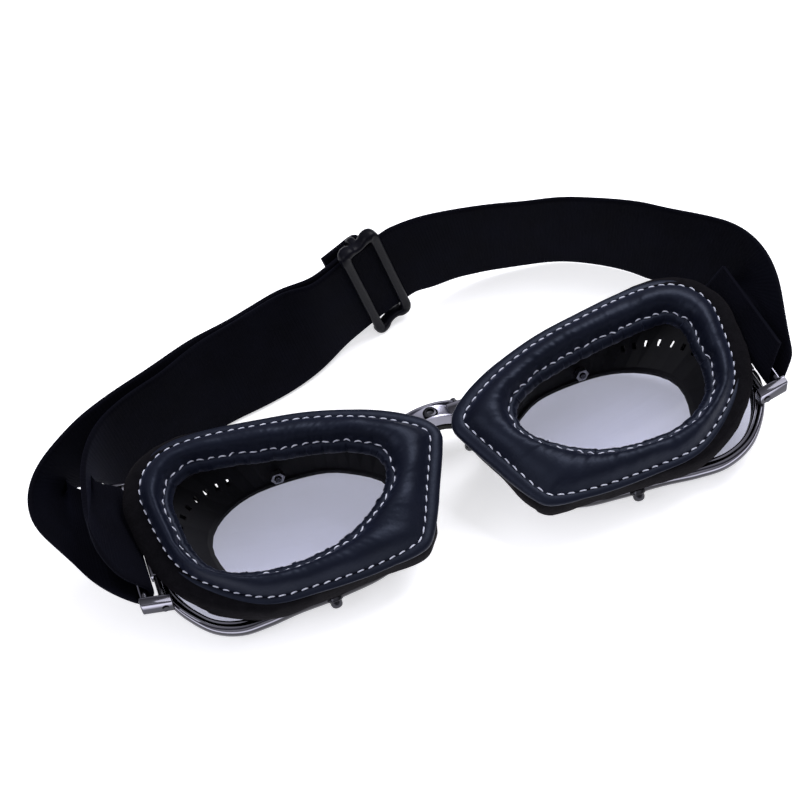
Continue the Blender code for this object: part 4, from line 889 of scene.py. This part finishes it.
def make_rim(name, side):
    """The rim with its tongue into the bridge and its lug for the clip, and the gasket in it."""
    edge = rim_edge(name)
    rim = to_object(f"{name}_rim_ring", grid_ring(rim_rails(edge, RIM_SECTION)), FINISH["chrome"], side)
    gasket = to_object(f"{name}_lens_channel", grid_ring(rim_rails(edge, GASKET_SECTION)), FINISH["rubber"],
                       side, CREASE)
    stand_in(gasket, f"{name}_cup", "rubber", f"{name}_lens_gasket")
    pin_x, pin_z = clip_pin()
    tab_end = RIM_CENTRE[0] - RIM_HALF_WIDTH + TAB_REACH
    tab_front, tab_back = BRIDGE_FRONT + BRIDGE_WALL + GAP, BRIDGE_BACK - BRIDGE_WALL - GAP
    joints = bmesh.new()
    top = BRIDGE_PIN_Z + TAB_THICKNESS / 2
    inner = BRIDGE_PIN_X - PIN_RADIUS - GAP - TAB_THICKNESS / 2
    rounded_block(joints, (inner, tab_front, BRIDGE_PIN_Z - TAB_THICKNESS / 2),
                  (tab_end - TAB_EDGE, tab_back, top), TAB_SOFTNESS)
    rounded_block(joints, (BRIDGE_LENGTH / 2 + TAB_RUNNING_GAP, tab_front - TAB_EDGE,
                           lens_height(tab_end) + RIM_HEIGHT / 2 - RIM_WALL / 2),
                  (tab_end, tab_back + TAB_EDGE, top - TAB_EDGE), LUG_SOFTNESS)
    rounded_block(joints, (pin_x - LUG_HALF_WIDTH, LUG_NEAR,
                           lens_height(pin_x) + RIM_HEIGHT / 2 - RIM_WALL / 2),
                  (pin_x + LUG_HALF_WIDTH, LUG_FAR, pin_z + LUG_HALF_WIDTH), LUG_SOFTNESS)
    lugs = to_object(f"{name}_rim_lugs", joints, FINISH["chrome"], side, CREASE)
    for piece in (rim, lugs):
        stand_in(piece, f"{name}_cup", "chrome", f"{name}_rim")


def make_lens(name, side):
    """The lens as a fine dished sheet with a soft edge."""
    edge = offset(rim_edge(name), -LENS_EDGE_DEPTH - GAP)
    middle = np.array(RIM_CENTRE)
    half = LENS_THICKNESS / 2
    rails = [on_lens(middle + (edge - middle) * share, half) for share in LENS_RING_SHARES]
    rails += [on_lens(edge, half * LENS_EDGE_SHARE), on_lens(edge, -half * LENS_EDGE_SHARE)]
    rails += [on_lens(middle + (edge - middle) * share, -half) for share in LENS_RING_SHARES[::-1]]
    mesh = grid_ring(rails, closed_section=False)
    bmesh.ops.holes_fill(mesh, edges=[item for item in mesh.edges if item.is_boundary], sides=0)
    lens = to_object(f"{name}_lens_sheet", mesh, FINISH["lens"], side)
    stand_in(lens, f"{name}_cup", "lens", f"{name}_lens")


def make_clip(name, side):
    """The strap bracket: two plates with soft edges and the bar between them."""
    half = CLIP_PLATE_HEIGHT / 2
    pin_x, pin_z = clip_pin()
    bar_x, bar_z = clip_bar()
    mesh = bmesh.new()
    for low_y, high_y in ((CLIP_NEAR, CLIP_NEAR + CLIP_NEAR_DEPTH), (CLIP_FAR - CLIP_PLATE, CLIP_FAR)):
        rounded_block(mesh, (pin_x - half, low_y, pin_z - half),
                      (bar_x + CLIP_BAR_RADIUS, high_y, pin_z + half), PLATE_SOFTNESS)
    for vert in mesh.verts:
        share = min(max((vert.co.x - pin_x) / (bar_x - pin_x), 0), 1)
        vert.co.z += CLIP_BAR_UP * share
    turn = Matrix.Rotation(math.pi / 2, 4, "X")
    middle = Vector((bar_x, (CLIP_NEAR + CLIP_FAR) / 2, bar_z))
    bmesh.ops.create_cone(mesh, cap_ends=True, segments=32, radius1=CLIP_BAR_RADIUS, radius2=CLIP_BAR_RADIUS,
                          depth=CLIP_FAR - CLIP_NEAR - CLIP_PLATE, matrix=Matrix.Translation(middle) @ turn)
    clip = to_object(f"{name}_clip_bracket", mesh, FINISH["chrome"], side, CREASE)
    stand_in(clip, f"{name}_clip", "chrome", f"{name}_clip")


# Bridge, in millimetres: where its two sides are, its heights at X = 0 and how fast each falls with X
# squared, and its section, one point a row: a side, how far from it, a height and how far over it
TRAY_SIDES = {"front": BRIDGE_FRONT / MM, "back": BRIDGE_BACK / MM}
TRAY_HEIGHTS = {"front": (17.1, 0.052), "back": (14.9, 0.026), "foot": (13.3, 0.050)}
TRAY_SECTION = [
    ("front", 0, "foot", 0), ("front", 0, "front", -0.2), ("front", 0.25, "front", 0),
    ("front", 0.75, "front", 0), ("front", 1.0, "front", -0.25), ("front", 1.1, "foot", 1.5),
    ("front", 1.5, "foot", 1.3), ("back", -1.5, "foot", 1.2), ("back", -1.1, "foot", 1.3),
    ("back", -1.0, "back", -0.25), ("back", -0.75, "back", 0), ("back", -0.25, "back", 0),
    ("back", 0, "back", -0.2), ("back", 0, "foot", 0), ("back", -0.4, "foot", -0.3),
    ("front", 0.4, "foot", -0.3)]
PAD_SIDES = {"front": 14.5, "back": BRIDGE_BACK / MM - 0.2}
PAD_HEIGHTS = {"top": (12.7, 0.050), "foot": (12.7 - PAD_THICKNESS / MM, 0.050)}
PAD_SECTION = [
    ("front", 0, "top", -0.3), ("front", 0.4, "top", 0), ("back", -0.4, "top", 0), ("back", 0, "top", -0.3),
    ("back", 0, "foot", 0.4), ("back", -0.5, "foot", 0), ("front", 0.5, "foot", 0), ("front", 0, "foot", 0.4)]


def arched_bar(name, material, length, count, sides, heights, section):
    """A bar along X with the given section, arched over the nose."""
    half = length / 2 / MM
    sections = []
    for x in np.linspace(-half, half, count):
        levels = {key: middle - fall * x * x for key, (middle, fall) in heights.items()}
        sections.append([np.array((x, sides[side] + out, levels[level] + up)) * MM
                         for side, out, level, up in section])
    return to_object(name, skin_sections(sections), material, smooth_angle=CREASE)


def make_bridge():
    tray = arched_bar("bridge_tray", FINISH["cast_metal"], BRIDGE_LENGTH, 41, TRAY_SIDES, TRAY_HEIGHTS,
                      TRAY_SECTION)
    stand_in(tray, "bridge", "chrome", "bridge_housing")
    pad = arched_bar("bridge_cushion", FINISH["rubber"], PAD_LENGTH, 25, PAD_SIDES, PAD_HEIGHTS, PAD_SECTION)
    stand_in(pad, "bridge", "rubber", "bridge_pad")


# Screws: one row a ring, its radius and its height along the screw, in millimetres
KNOB_ROWS = [(2.0, -0.9), (2.25, -0.6), (2.3, 0.5), (2.0, 0.75), (1.75, 0.85), (1.7, 1.7), (1.45, 2.3),
             (0.9, 2.65), (0.3, 2.75)]
KNOB_STRETCHES = {"brow": 1.0, "cheek": 1.1, "nose": 1.6}
BRIDGE_SCREW_ROWS = [(1.0, 6.1), (1.05, 6.3), (1.05, 14.2), (2.3, 14.45), (2.35, 15.1), (2.1, 15.55),
                     (1.5, 15.8), (1.2, 15.8), (1.1, 15.7), (1.0, 15.1), (0.4, 15.05)]


def turned(rows, place, axis, steps=24):
    """A mesh of rings turned about an axis, with both ends closed."""
    matrix = Matrix.Translation(Vector(place)) @ Vector(axis).to_track_quat("Z", "Y").to_matrix().to_4x4()
    angles = [2 * math.pi * step / steps for step in range(steps)]
    rings = [[matrix @ (Vector((math.cos(angle) * radius, math.sin(angle) * radius, height)) * MM)
              for angle in angles] for radius, height in rows]
    mesh = bmesh.new()
    join_rows(mesh, new_rows(mesh, rings), ends=True)
    return mesh


def node_points(name):
    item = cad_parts[name]
    return np.array([item.matrix_world @ vert.co for vert in item.data.vertices])


def box_middle(points):
    return (points.max(axis=0) + points.min(axis=0)) / 2


def make_knobs(name):
    """The domed heads which stand out through the suede, one on each rim screw."""
    for where, stretch in KNOB_STRETCHES.items():
        screw = node_points(f"{name}_{where}_screw")
        middle = box_middle(screw)
        way = middle - box_middle(node_points(f"{name}_{where}_nut"))
        way /= np.linalg.norm(way)
        top = middle + way * np.max((screw - middle) @ way)
        rows = [(radius, height * stretch) for radius, height in KNOB_ROWS]
        knob = to_object(f"{name}_{where}_knob", turned(rows, top - np.array(SHIFT), way),
                         FINISH["black_steel"], smooth_angle=CREASE)
        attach(knob, f"{name}_cup")


def make_bridge_screw():
    mesh = turned(BRIDGE_SCREW_ROWS, (0, (BRIDGE_FRONT + BRIDGE_BACK) / 2, 0), (0, 0, 1))
    screw = to_object("bridge_screw_head", mesh, FINISH["black_steel"], smooth_angle=CREASE)
    stand_in(screw, "bridge", "black_steel", "bridge_screw")


# Slider: one row a point of the frame's path: along, across, out, then half its width and half its depth
SLIDER_CORNER_ROWS = [
    (-5.8, 0.0, 2.05, 1.55, 0.95), (-5.8, 6.0, 2.05, 1.50, 0.95), (-5.8, 12.0, 2.05, 1.50, 0.95),
    (-5.8, 16.0, 2.05, 1.55, 1.00), (-5.75, 18.2, 1.70, 1.75, 1.50), (-5.2, 19.9, 1.10, 1.85, 2.20),
    (-3.6, 20.3, 0.90, 1.55, 2.20), (-1.8, 19.6, 0.80, 1.15, 1.95), (0.0, 19.3, 0.80, 1.05, 1.90)]
SLIDER_TOP_ROWS = SLIDER_CORNER_ROWS + [(-along, *rest) for along, *rest in SLIDER_CORNER_ROWS[-2:0:-1]]
SLIDER_FAR_ROW = (5.8, 0.0, 2.05, 1.50, 0.95)
SLIDER_BAR_ROWS = [
    (0.0, 19.5, -0.4, 1.20, 0.80), (0.0, 19.7, -2.2, 1.20, 0.80), (0.0, 19.1, -3.6, 1.20, 0.80),
    (0.0, 17.8, -4.15, 1.20, 0.78), (0.0, 9.0, -4.15, 1.20, 0.76), (0.0, 0.0, -4.15, 1.20, 0.76)]
TUBE_SIDES = 16
# Under 1, this power makes a tube's section squarer than round
TUBE_POWER = 0.7
BAR_STEP = 0.0012


def squared(value):
    return math.copysign(abs(value) ** TUBE_POWER, value)


def tube_rings(rows, closed):
    """Rings round a smooth path in the slider's own frame; rows as in the tables above."""
    rows = np.array(rows, dtype=float) * MM
    dense = smooth_round(rows, 10) if closed else smooth_line(rows, BAR_STEP)
    total = len(dense)
    rings = []
    for index, (*middle, half_width, half_depth) in enumerate(dense):
        before = dense[index - 1] if closed else dense[max(index - 1, 0)]
        after = dense[(index + 1) % total] if closed else dense[min(index + 1, total - 1)]
        way = (after - before)[:3]
        way /= np.linalg.norm(way)
        side = np.cross(way, (0, 0, 1)) if closed else np.array([1.0, 0, 0])
        side /= np.linalg.norm(side)
        up = np.cross(side, way)
        angles = [2 * math.pi * (turn + 0.5) / TUBE_SIDES for turn in range(TUBE_SIDES)]
        rings.append([np.array(middle) + side * squared(math.cos(angle)) * half_width
                      + up * squared(math.sin(angle)) * half_depth for angle in angles])
    return rings


def mirrored(rows):
    return [(along, -across, *rest) for along, across, *rest in rows]


def make_slider():
    """The frame as one closed tube, with the middle bar from end to end behind it."""
    loop = SLIDER_TOP_ROWS + [SLIDER_FAR_ROW] + mirrored(SLIDER_TOP_ROWS[:0:-1])
    bar = SLIDER_BAR_ROWS + mirrored(SLIDER_BAR_ROWS[-2::-1])
    mesh = bmesh.new()
    join_rows(mesh, new_rows(mesh, tube_rings(loop, True)), closed=True)
    join_rows(mesh, new_rows(mesh, tube_rings(bar, False)), ends=True)
    place = Matrix(slider_axes()).transposed().to_4x4()
    place.translation = SLIDER_POINT
    bmesh.ops.transform(mesh, matrix=place, verts=mesh.verts)
    slider = to_object("slider_frame", mesh, FINISH["gloss_plastic"], smooth_angle=ROUND_CREASE)
    stand_in(slider, "slider", "gloss_plastic", "slider")


# Strap: shares along its fold's legs and its tail, then how it is evened out
LEG_SHARES = (1, 0.66, 0.33)
TAIL_SHARES = (1.0, 0.75, 0.5, 0.25)
HOLD_STRENGTH = 1.3
NORMAL_ROUNDS = 3
# Its section: soft edges, and the places of the points between them as shares of half its width
STRAP_EDGE = 0.0005
STRAP_BRINK = 0.0001
STRAP_BRINK_SHARE = 0.62
STRAP_POINT_SHARES = (-0.9, -0.7, -0.45, -0.2, 0, 0.2, 0.45, 0.7, 0.9)
# Where it is cut into pieces: shares of its span, depth and width, or a place
RIGHT_SEAM_SHARES = (0.873, 0.590, 0.509)
INNER_SEAM_SHARES = (-0.755, 0.560, 0.497)
OUTER_SEAM_SHARES = (-0.800, 0.596, 0.500)
BACK_SEAM = (-0.022, 0.067, 0.018)
# X and Y where each piece leaves its first body and where it is wholly on its second
CLIP_ZONE = ((0, 0.0440), (0, 0.0250))
RIGHT_FRONT_ZONE = ((0.045, 0), (0.087, 0))
LEFT_FRONT_ZONE = ((-0.035, 0), (-0.078, 0))
REAR_ZONE = ((-0.040, 0), (-0.080, 0))
SLIDER_ZONE = ((-0.021, 0), (-0.011, 0))


def clip_pin():
    """X and Z of the right clip's pin."""
    x = RIM_CENTRE[0] + RIM_HALF_WIDTH - CLIP_PIN_INSET
    return x, lens_height(x) + RIM_HEIGHT / 2 + CLIP_PIN_RISE


def clip_bar():
    """X and Z of the right clip's bar."""
    x, z = clip_pin()
    return x + CLIP_BAR_OUT, z + CLIP_BAR_UP


def strap_span():
    return clip_bar()[0] + STRAP_BELLY


def loop_rows(side, lean, front_leg, back_leg, steps=16):
    """Centre and way across of the strap folded round a clip's bar, from the face side to the other."""
    heading = np.array([math.cos(lean), 0, math.sin(lean)])
    front = np.array([-heading[2], 0, heading[0]])
    bar_x, bar_z = clip_bar()
    middle = np.array([bar_x, STRAP_CENTRE_Y, bar_z])
    radius = CLIP_BAR_RADIUS + GAP + STRAP / 2
    rows = [middle + front * radius + heading * front_leg * share for share in LEG_SHARES]
    for step in range(steps + 1):
        angle = math.pi * step / steps
        rows.append(middle + (front * math.cos(angle) - heading * math.sin(angle)) * radius)
    rows += [middle - front * radius + heading * back_leg * share for share in LEG_SHARES[::-1]]
    return [(side * row[0], row[1], row[2], 0, -1, 0) for row in rows]


def strap_spot(x_share, y_share, z_share):
    return x_share * strap_span(), y_share * STRAP_DEPTH, z_share * STRAP_WIDTH


def share_rows(shares):
    """Stations from shares of the strap's span, depth and width, each with a way across the strap."""
    return [(*strap_spot(*place), *(np.array(way) / np.linalg.norm(way)))
            for *place, way in ((*row[:3], row[3:]) for row in shares)]


def slider_axes():
    """Along the strap, across it and out of it towards the goggles, at the slider."""
    along = Vector((math.cos(SLIDER_HEADING) * math.cos(SLIDER_RISE),
                    math.sin(SLIDER_HEADING) * math.cos(SLIDER_RISE), math.sin(SLIDER_RISE)))
    out = along.cross(Vector((0, 0, 1))).normalized()
    out.rotate(Matrix.Rotation(SLIDER_LEAN, 3, along))
    return along, out.cross(along).normalized(), out


def slanted_way(slant):
    along, rise, _out = slider_axes()
    return along * math.cos(slant) - rise * math.sin(slant)


def slider_row(distance):
    """A station near the slider, at a distance from its middle."""
    _along, rise, _out = slider_axes()
    slant = SLANT_BEFORE if distance < 0 else SLANT_AFTER
    return (*(Vector(SLIDER_POINT) + slanted_way(slant) * distance), *rise)


def behind_rows(rows, distance):
    """The rows moved away from the goggles; they run towards +X."""
    moved = []
    for index, row in enumerate(rows):
        before = np.array(rows[max(index - 1, 0)][:3])
        after = np.array(rows[min(index + 1, len(rows) - 1)][:3])
        normal = np.cross(after - before, np.array(row[3:]))
        normal /= np.linalg.norm(normal)
        moved.append((*(np.array(row[:3]) - normal * distance), *row[3:]))
    return moved


def slider_fold_rows(steps=12):
    """The strap's end round the slider's middle bar, from the back run to its tail."""
    _along, rise, out = slider_axes()
    along = slanted_way(SLANT_BEFORE)
    bar_front = STRAP / 2 + LAYER_SPACE + STRAP + GAP
    near = -STRAP - LAYER_SPACE
    far = -bar_front - MIDDLE_BAR_THICKNESS - GAP - STRAP / 2
    radius = (near - far) / 2
    middle = Vector(SLIDER_POINT) + out * ((near + far) / 2) + along * (MIDDLE_BAR / 2)
    places = [Vector(SLIDER_POINT) + out * near - along * SLIDER_TAIL * share for share in TAIL_SHARES]
    for step in range(steps + 1):
        angle = math.pi * step / steps
        places.append(middle + (out * math.cos(angle) + along * math.sin(angle)) * radius)
    places += [Vector(SLIDER_POINT) + out * far - along * SLIDER_TAIL * share for share in TAIL_SHARES[::-1]]
    return [(*place, *rise) for place in places]


class Route:
    """The whole strap as one smooth ribbon, from its tail at the right clip to its tail at the slider."""

    def __init__(self):
        back_rows = share_rows(LEFT_BACK_SHARES[-2::-1]) + [slider_row(-STRAIGHT_BEFORE)]
        parts = [
            (True, loop_rows(1, RIGHT_LOOP_LEAN, TAIL_LEG, LOOP_LEG)),
            (False, share_rows(RIGHT_TURN_SHARES[::-1])),
            (False, share_rows(RIGHT_BACK_SHARES[-2::-1])),
            (True, [slider_row(distance) for distance in
                    (STRAIGHT_AFTER, STRAIGHT_AFTER - STRAIGHT_LEAD, 0, STRAIGHT_LEAD - STRAIGHT_BEFORE,
                     -STRAIGHT_BEFORE)]),
            (False, share_rows(LEFT_BACK_SHARES)),
            (False, share_rows(LEFT_INNER_TURN_SHARES[1:])),
            (True, loop_rows(-1, LOOP_LEAN, LOOP_LEG, LOOP_LEG)),
            (False, share_rows(LEFT_OUTER_TURN_SHARES[::-1])),
            (False, behind_rows(back_rows, STRAP + LAYER_SPACE)),
            (True, slider_fold_rows())]
        rows, held = [], []
        for fixed, part in parts:
            rows += part
            held += [float(fixed)] * len(part)
        dense = smooth_line([(*row, hold) for row, hold in zip(rows, held)], STRAP_STEP / 2)
        length = np.concatenate([[0], np.cumsum(np.linalg.norm(np.diff(dense[:, :3], axis=0), axis=1))])
        count = round(length[-1] / STRAP_STEP)
        place = np.linspace(0, length[-1], count + 1)
        even = np.stack([np.interp(place, length, dense[:, column]) for column in range(7)], axis=1)
        self.length = place
        loose = np.clip(1 - even[:, 6] * HOLD_STRENGTH, 0, 1)[:, None]
        centre, way = even[:, :3], even[:, 3:6]
        for _round in range(SMOOTH_ROUNDS):
            centre = centre + loose * 0.5 * (self.neighbours(centre) - centre)
            way = way + loose * 0.5 * (self.neighbours(way) - way)
        for _round in range(SMOOTH_ROUNDS):
            way = way + 0.5 * (self.neighbours(way) - way)
        way /= np.linalg.norm(way, axis=1)[:, None]
        along = np.gradient(centre, axis=0)
        normal = np.cross(along, way)
        normal /= np.linalg.norm(normal, axis=1)[:, None]
        for _round in range(NORMAL_ROUNDS):
            normal = normal + 0.5 * (self.neighbours(normal) - normal)
        normal -= way * np.sum(normal * way, axis=1)[:, None]
        self.normal = normal / np.linalg.norm(normal, axis=1)[:, None]
        self.centre, self.way = centre, way
        self.lower, self.upper = np.zeros(len(place)), np.zeros(len(place))
        for middle, window, lower, upper, reach in STRAP_SPREADS:
            nearest = self.nearest(middle, *window)
            weight = np.exp(-((place - place[nearest]) / reach) ** 2)
            self.lower += weight * lower
            self.upper += weight * upper

    @staticmethod
    def neighbours(values):
        padded = np.vstack([values[:1], values, values[-1:]])
        return (padded[:-2] + padded[2:]) / 2

    def nearest(self, place, low=0.0, high=1.0):
        """The step whose middle is nearest to a place, within a span given as shares of the length."""
        first, last = round(low * (len(self.centre) - 1)), round(high * (len(self.centre) - 1))
        reach = np.linalg.norm(self.centre[first:last + 1] - np.array(place), axis=1)
        return first + int(np.argmin(reach))

    def piece(self, name, start, end):
        """The ribbon from one step to another, with soft edges."""
        half, thick = STRAP_WIDTH / 2, STRAP / 2
        brink = half - STRAP_BRINK, thick * STRAP_BRINK_SHARE
        across = [(-half, 0), (-brink[0], brink[1]), (-half + STRAP_EDGE, thick)]
        across += [(half * share, thick) for share in STRAP_POINT_SHARES]
        across += [(half - STRAP_EDGE, thick), brink, (half, 0)]
        across += [(up, -out) for up, out in across[-2:0:-1]]
        sections, uvs = [], []
        for index in range(start, end + 1):
            centre, way, normal = self.centre[index], self.way[index], self.normal[index]
            lower, upper = self.lower[index] / half, self.upper[index] / half
            sections.append([centre + way * up * (1 + (upper if up > 0 else lower)) + normal * out
                             for up, out in across])
            uvs.append([(self.length[index], up if out >= 0 else up + STRAP_WIDTH * 2) for up, out in across])
        return to_object(name, skin_sections(sections, uvs), FINISH["webbing"], smooth_angle=ROUND_CREASE)


def make_strap():
    """The strap's pieces, each from a seam to the next, in place of the strap's solids."""
    route = Route()
    right_seam = route.nearest(strap_spot(*RIGHT_SEAM_SHARES), 0, 0.3)
    slider_seam = route.nearest(slider_row(-SLIDER_LENGTH / 2 + SLIDER_BAR / 2)[:3], 0.2, 0.6)
    inner_seam = route.nearest(strap_spot(*INNER_SEAM_SHARES), 0.3, 0.7)
    outer_seam = route.nearest(strap_spot(*OUTER_SEAM_SHARES), 0.6, 1.0)
    back_seam = route.nearest(BACK_SEAM, 0.75, 0.95)
    last = len(route.centre) - 1
    for name, start, end, bodies, zone, replaced in (
            ("strap_right_end", 0, right_seam, ("right_cup", "right_clip"), CLIP_ZONE,
             ("strap_right_turn", "strap_right_loop")),
            ("strap_front_right", right_seam, slider_seam, ("bridge", "right_cup"), RIGHT_FRONT_ZONE,
             ("strap_main",)),
            ("strap_front_left", slider_seam, inner_seam, ("bridge", "left_cup"), LEFT_FRONT_ZONE,
             ("strap_main",)),
            ("strap_left_end", inner_seam, outer_seam, ("left_cup", "left_clip"), CLIP_ZONE,
             ("strap_left_inner_turn", "strap_left_outer_turn", "strap_left_loop")),
            ("strap_rear_run", outer_seam, back_seam, ("bridge", "left_cup"), REAR_ZONE,
             ("strap_back_run",)),
            ("strap_slider_end", back_seam, last, ("bridge", "slider"), SLIDER_ZONE,
             ("strap_slider_loop",))):
        cloth = route.piece(name, start, end)
        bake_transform(cloth)
        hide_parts(*replaced)


# Stage: the floor's reach, the sky's colours by height, and the lights: place, size, energy and colour
FLOOR_REACH = 3.0
SKY_STOPS = [(0.0, (0.55, 0.55, 0.60)), (0.18, (0.10, 0.10, 0.12)), (0.45, (0.30, 0.30, 0.34)),
             (0.85, (0.95, 0.95, 1.0))]
SKY_STRENGTH = 0.8
LIGHTS = {"key_softbox": ((0.42, 0.22, 0.70), (0.6, 0.5), 6.0, (0.96, 0.96, 1.0)),
          "fill_softbox": ((-0.7, -0.25, 0.5), (0.5, 0.5), 2.2, (0.93, 0.93, 1.0))}
CAMERA_CLIP = (0.01, 20.0)


def make_floor(scene):
    mesh = bmesh.new()
    corners = [(-1, -1, 0), (1, -1, 0), (1, 1, 0), (-1, 1, 0)]
    mesh.faces.new([mesh.verts.new(Vector(corner) * FLOOR_REACH) for corner in corners])
    data = bpy.data.meshes.new("floor")
    mesh.to_mesh(data)
    mesh.free()
    floor = bpy.data.objects.new("floor", data)
    scene.collection.objects.link(floor)
    material, _tree, _shader = new_material(
        "pale_floor", Base_Color=(0.90, 0.90, 0.92, 1.0), Roughness=0.8, Specular_IOR_Level=0.1,
        Emission_Color=(1.0, 1.0, 1.0, 1.0), Emission_Strength=0.55)
    data.materials.append(material)


def make_sky(scene):
    world = bpy.data.worlds.new("studio")
    world.use_nodes = True
    scene.world = world
    tree = world.node_tree
    background = tree.nodes["Background"]
    place = tree.nodes.new("ShaderNodeTexCoord").outputs["Generated"]
    height = node(tree, "ShaderNodeSeparateXYZ", Vector=place).outputs["Z"]
    tree.links.new(ramp(tree, height, SKY_STOPS), background.inputs["Color"])
    background.inputs["Strength"].default_value = SKY_STRENGTH


def make_lights(scene):
    """Soft lights, each turned to the middle of the goggles."""
    for name, (place, size, energy, colour) in LIGHTS.items():
        light = bpy.data.lights.new(name, "AREA")
        light.shape = "RECTANGLE"
        light.size, light.size_y = size
        light.energy = energy
        light.color = colour
        item = bpy.data.objects.new(name, light)
        item.location = place
        item.rotation_mode = "QUATERNION"
        item.rotation_quaternion = (-Vector(place)).to_track_quat("-Z", "Y")
        scene.collection.objects.link(item)


def make_stage():
    scene = bpy.context.scene
    make_floor(scene)
    make_sky(scene)
    make_lights(scene)
    camera_data = bpy.data.cameras.new("camera")
    camera_data.lens = CAMERA_LENS
    camera_data.sensor_width = SENSOR
    camera_data.sensor_fit = "HORIZONTAL"
    camera_data.clip_start, camera_data.clip_end = CAMERA_CLIP
    camera = bpy.data.objects.new("camera", camera_data)
    turn = Matrix((CAMERA_RIGHT, CAMERA_UP, CAMERA_BACK)).transposed().to_4x4()
    camera.matrix_world = Matrix.Translation(Vector(CAMERA_PLACE) + SHIFT) @ turn
    scene.collection.objects.link(camera)
    scene.camera = camera
    scene.view_settings.view_transform = "Standard"


make_stage()
dress_nodes()
for label, sign, start_seed in (("left", -1, 11), ("right", 1, 47)):
    make_cushion(label, sign, start_seed)
    make_rim(label, sign)
    make_lens(label, sign)
    make_clip(label, sign)
    make_knobs(label)
make_bridge()
make_bridge_screw()
make_slider()
make_strap()
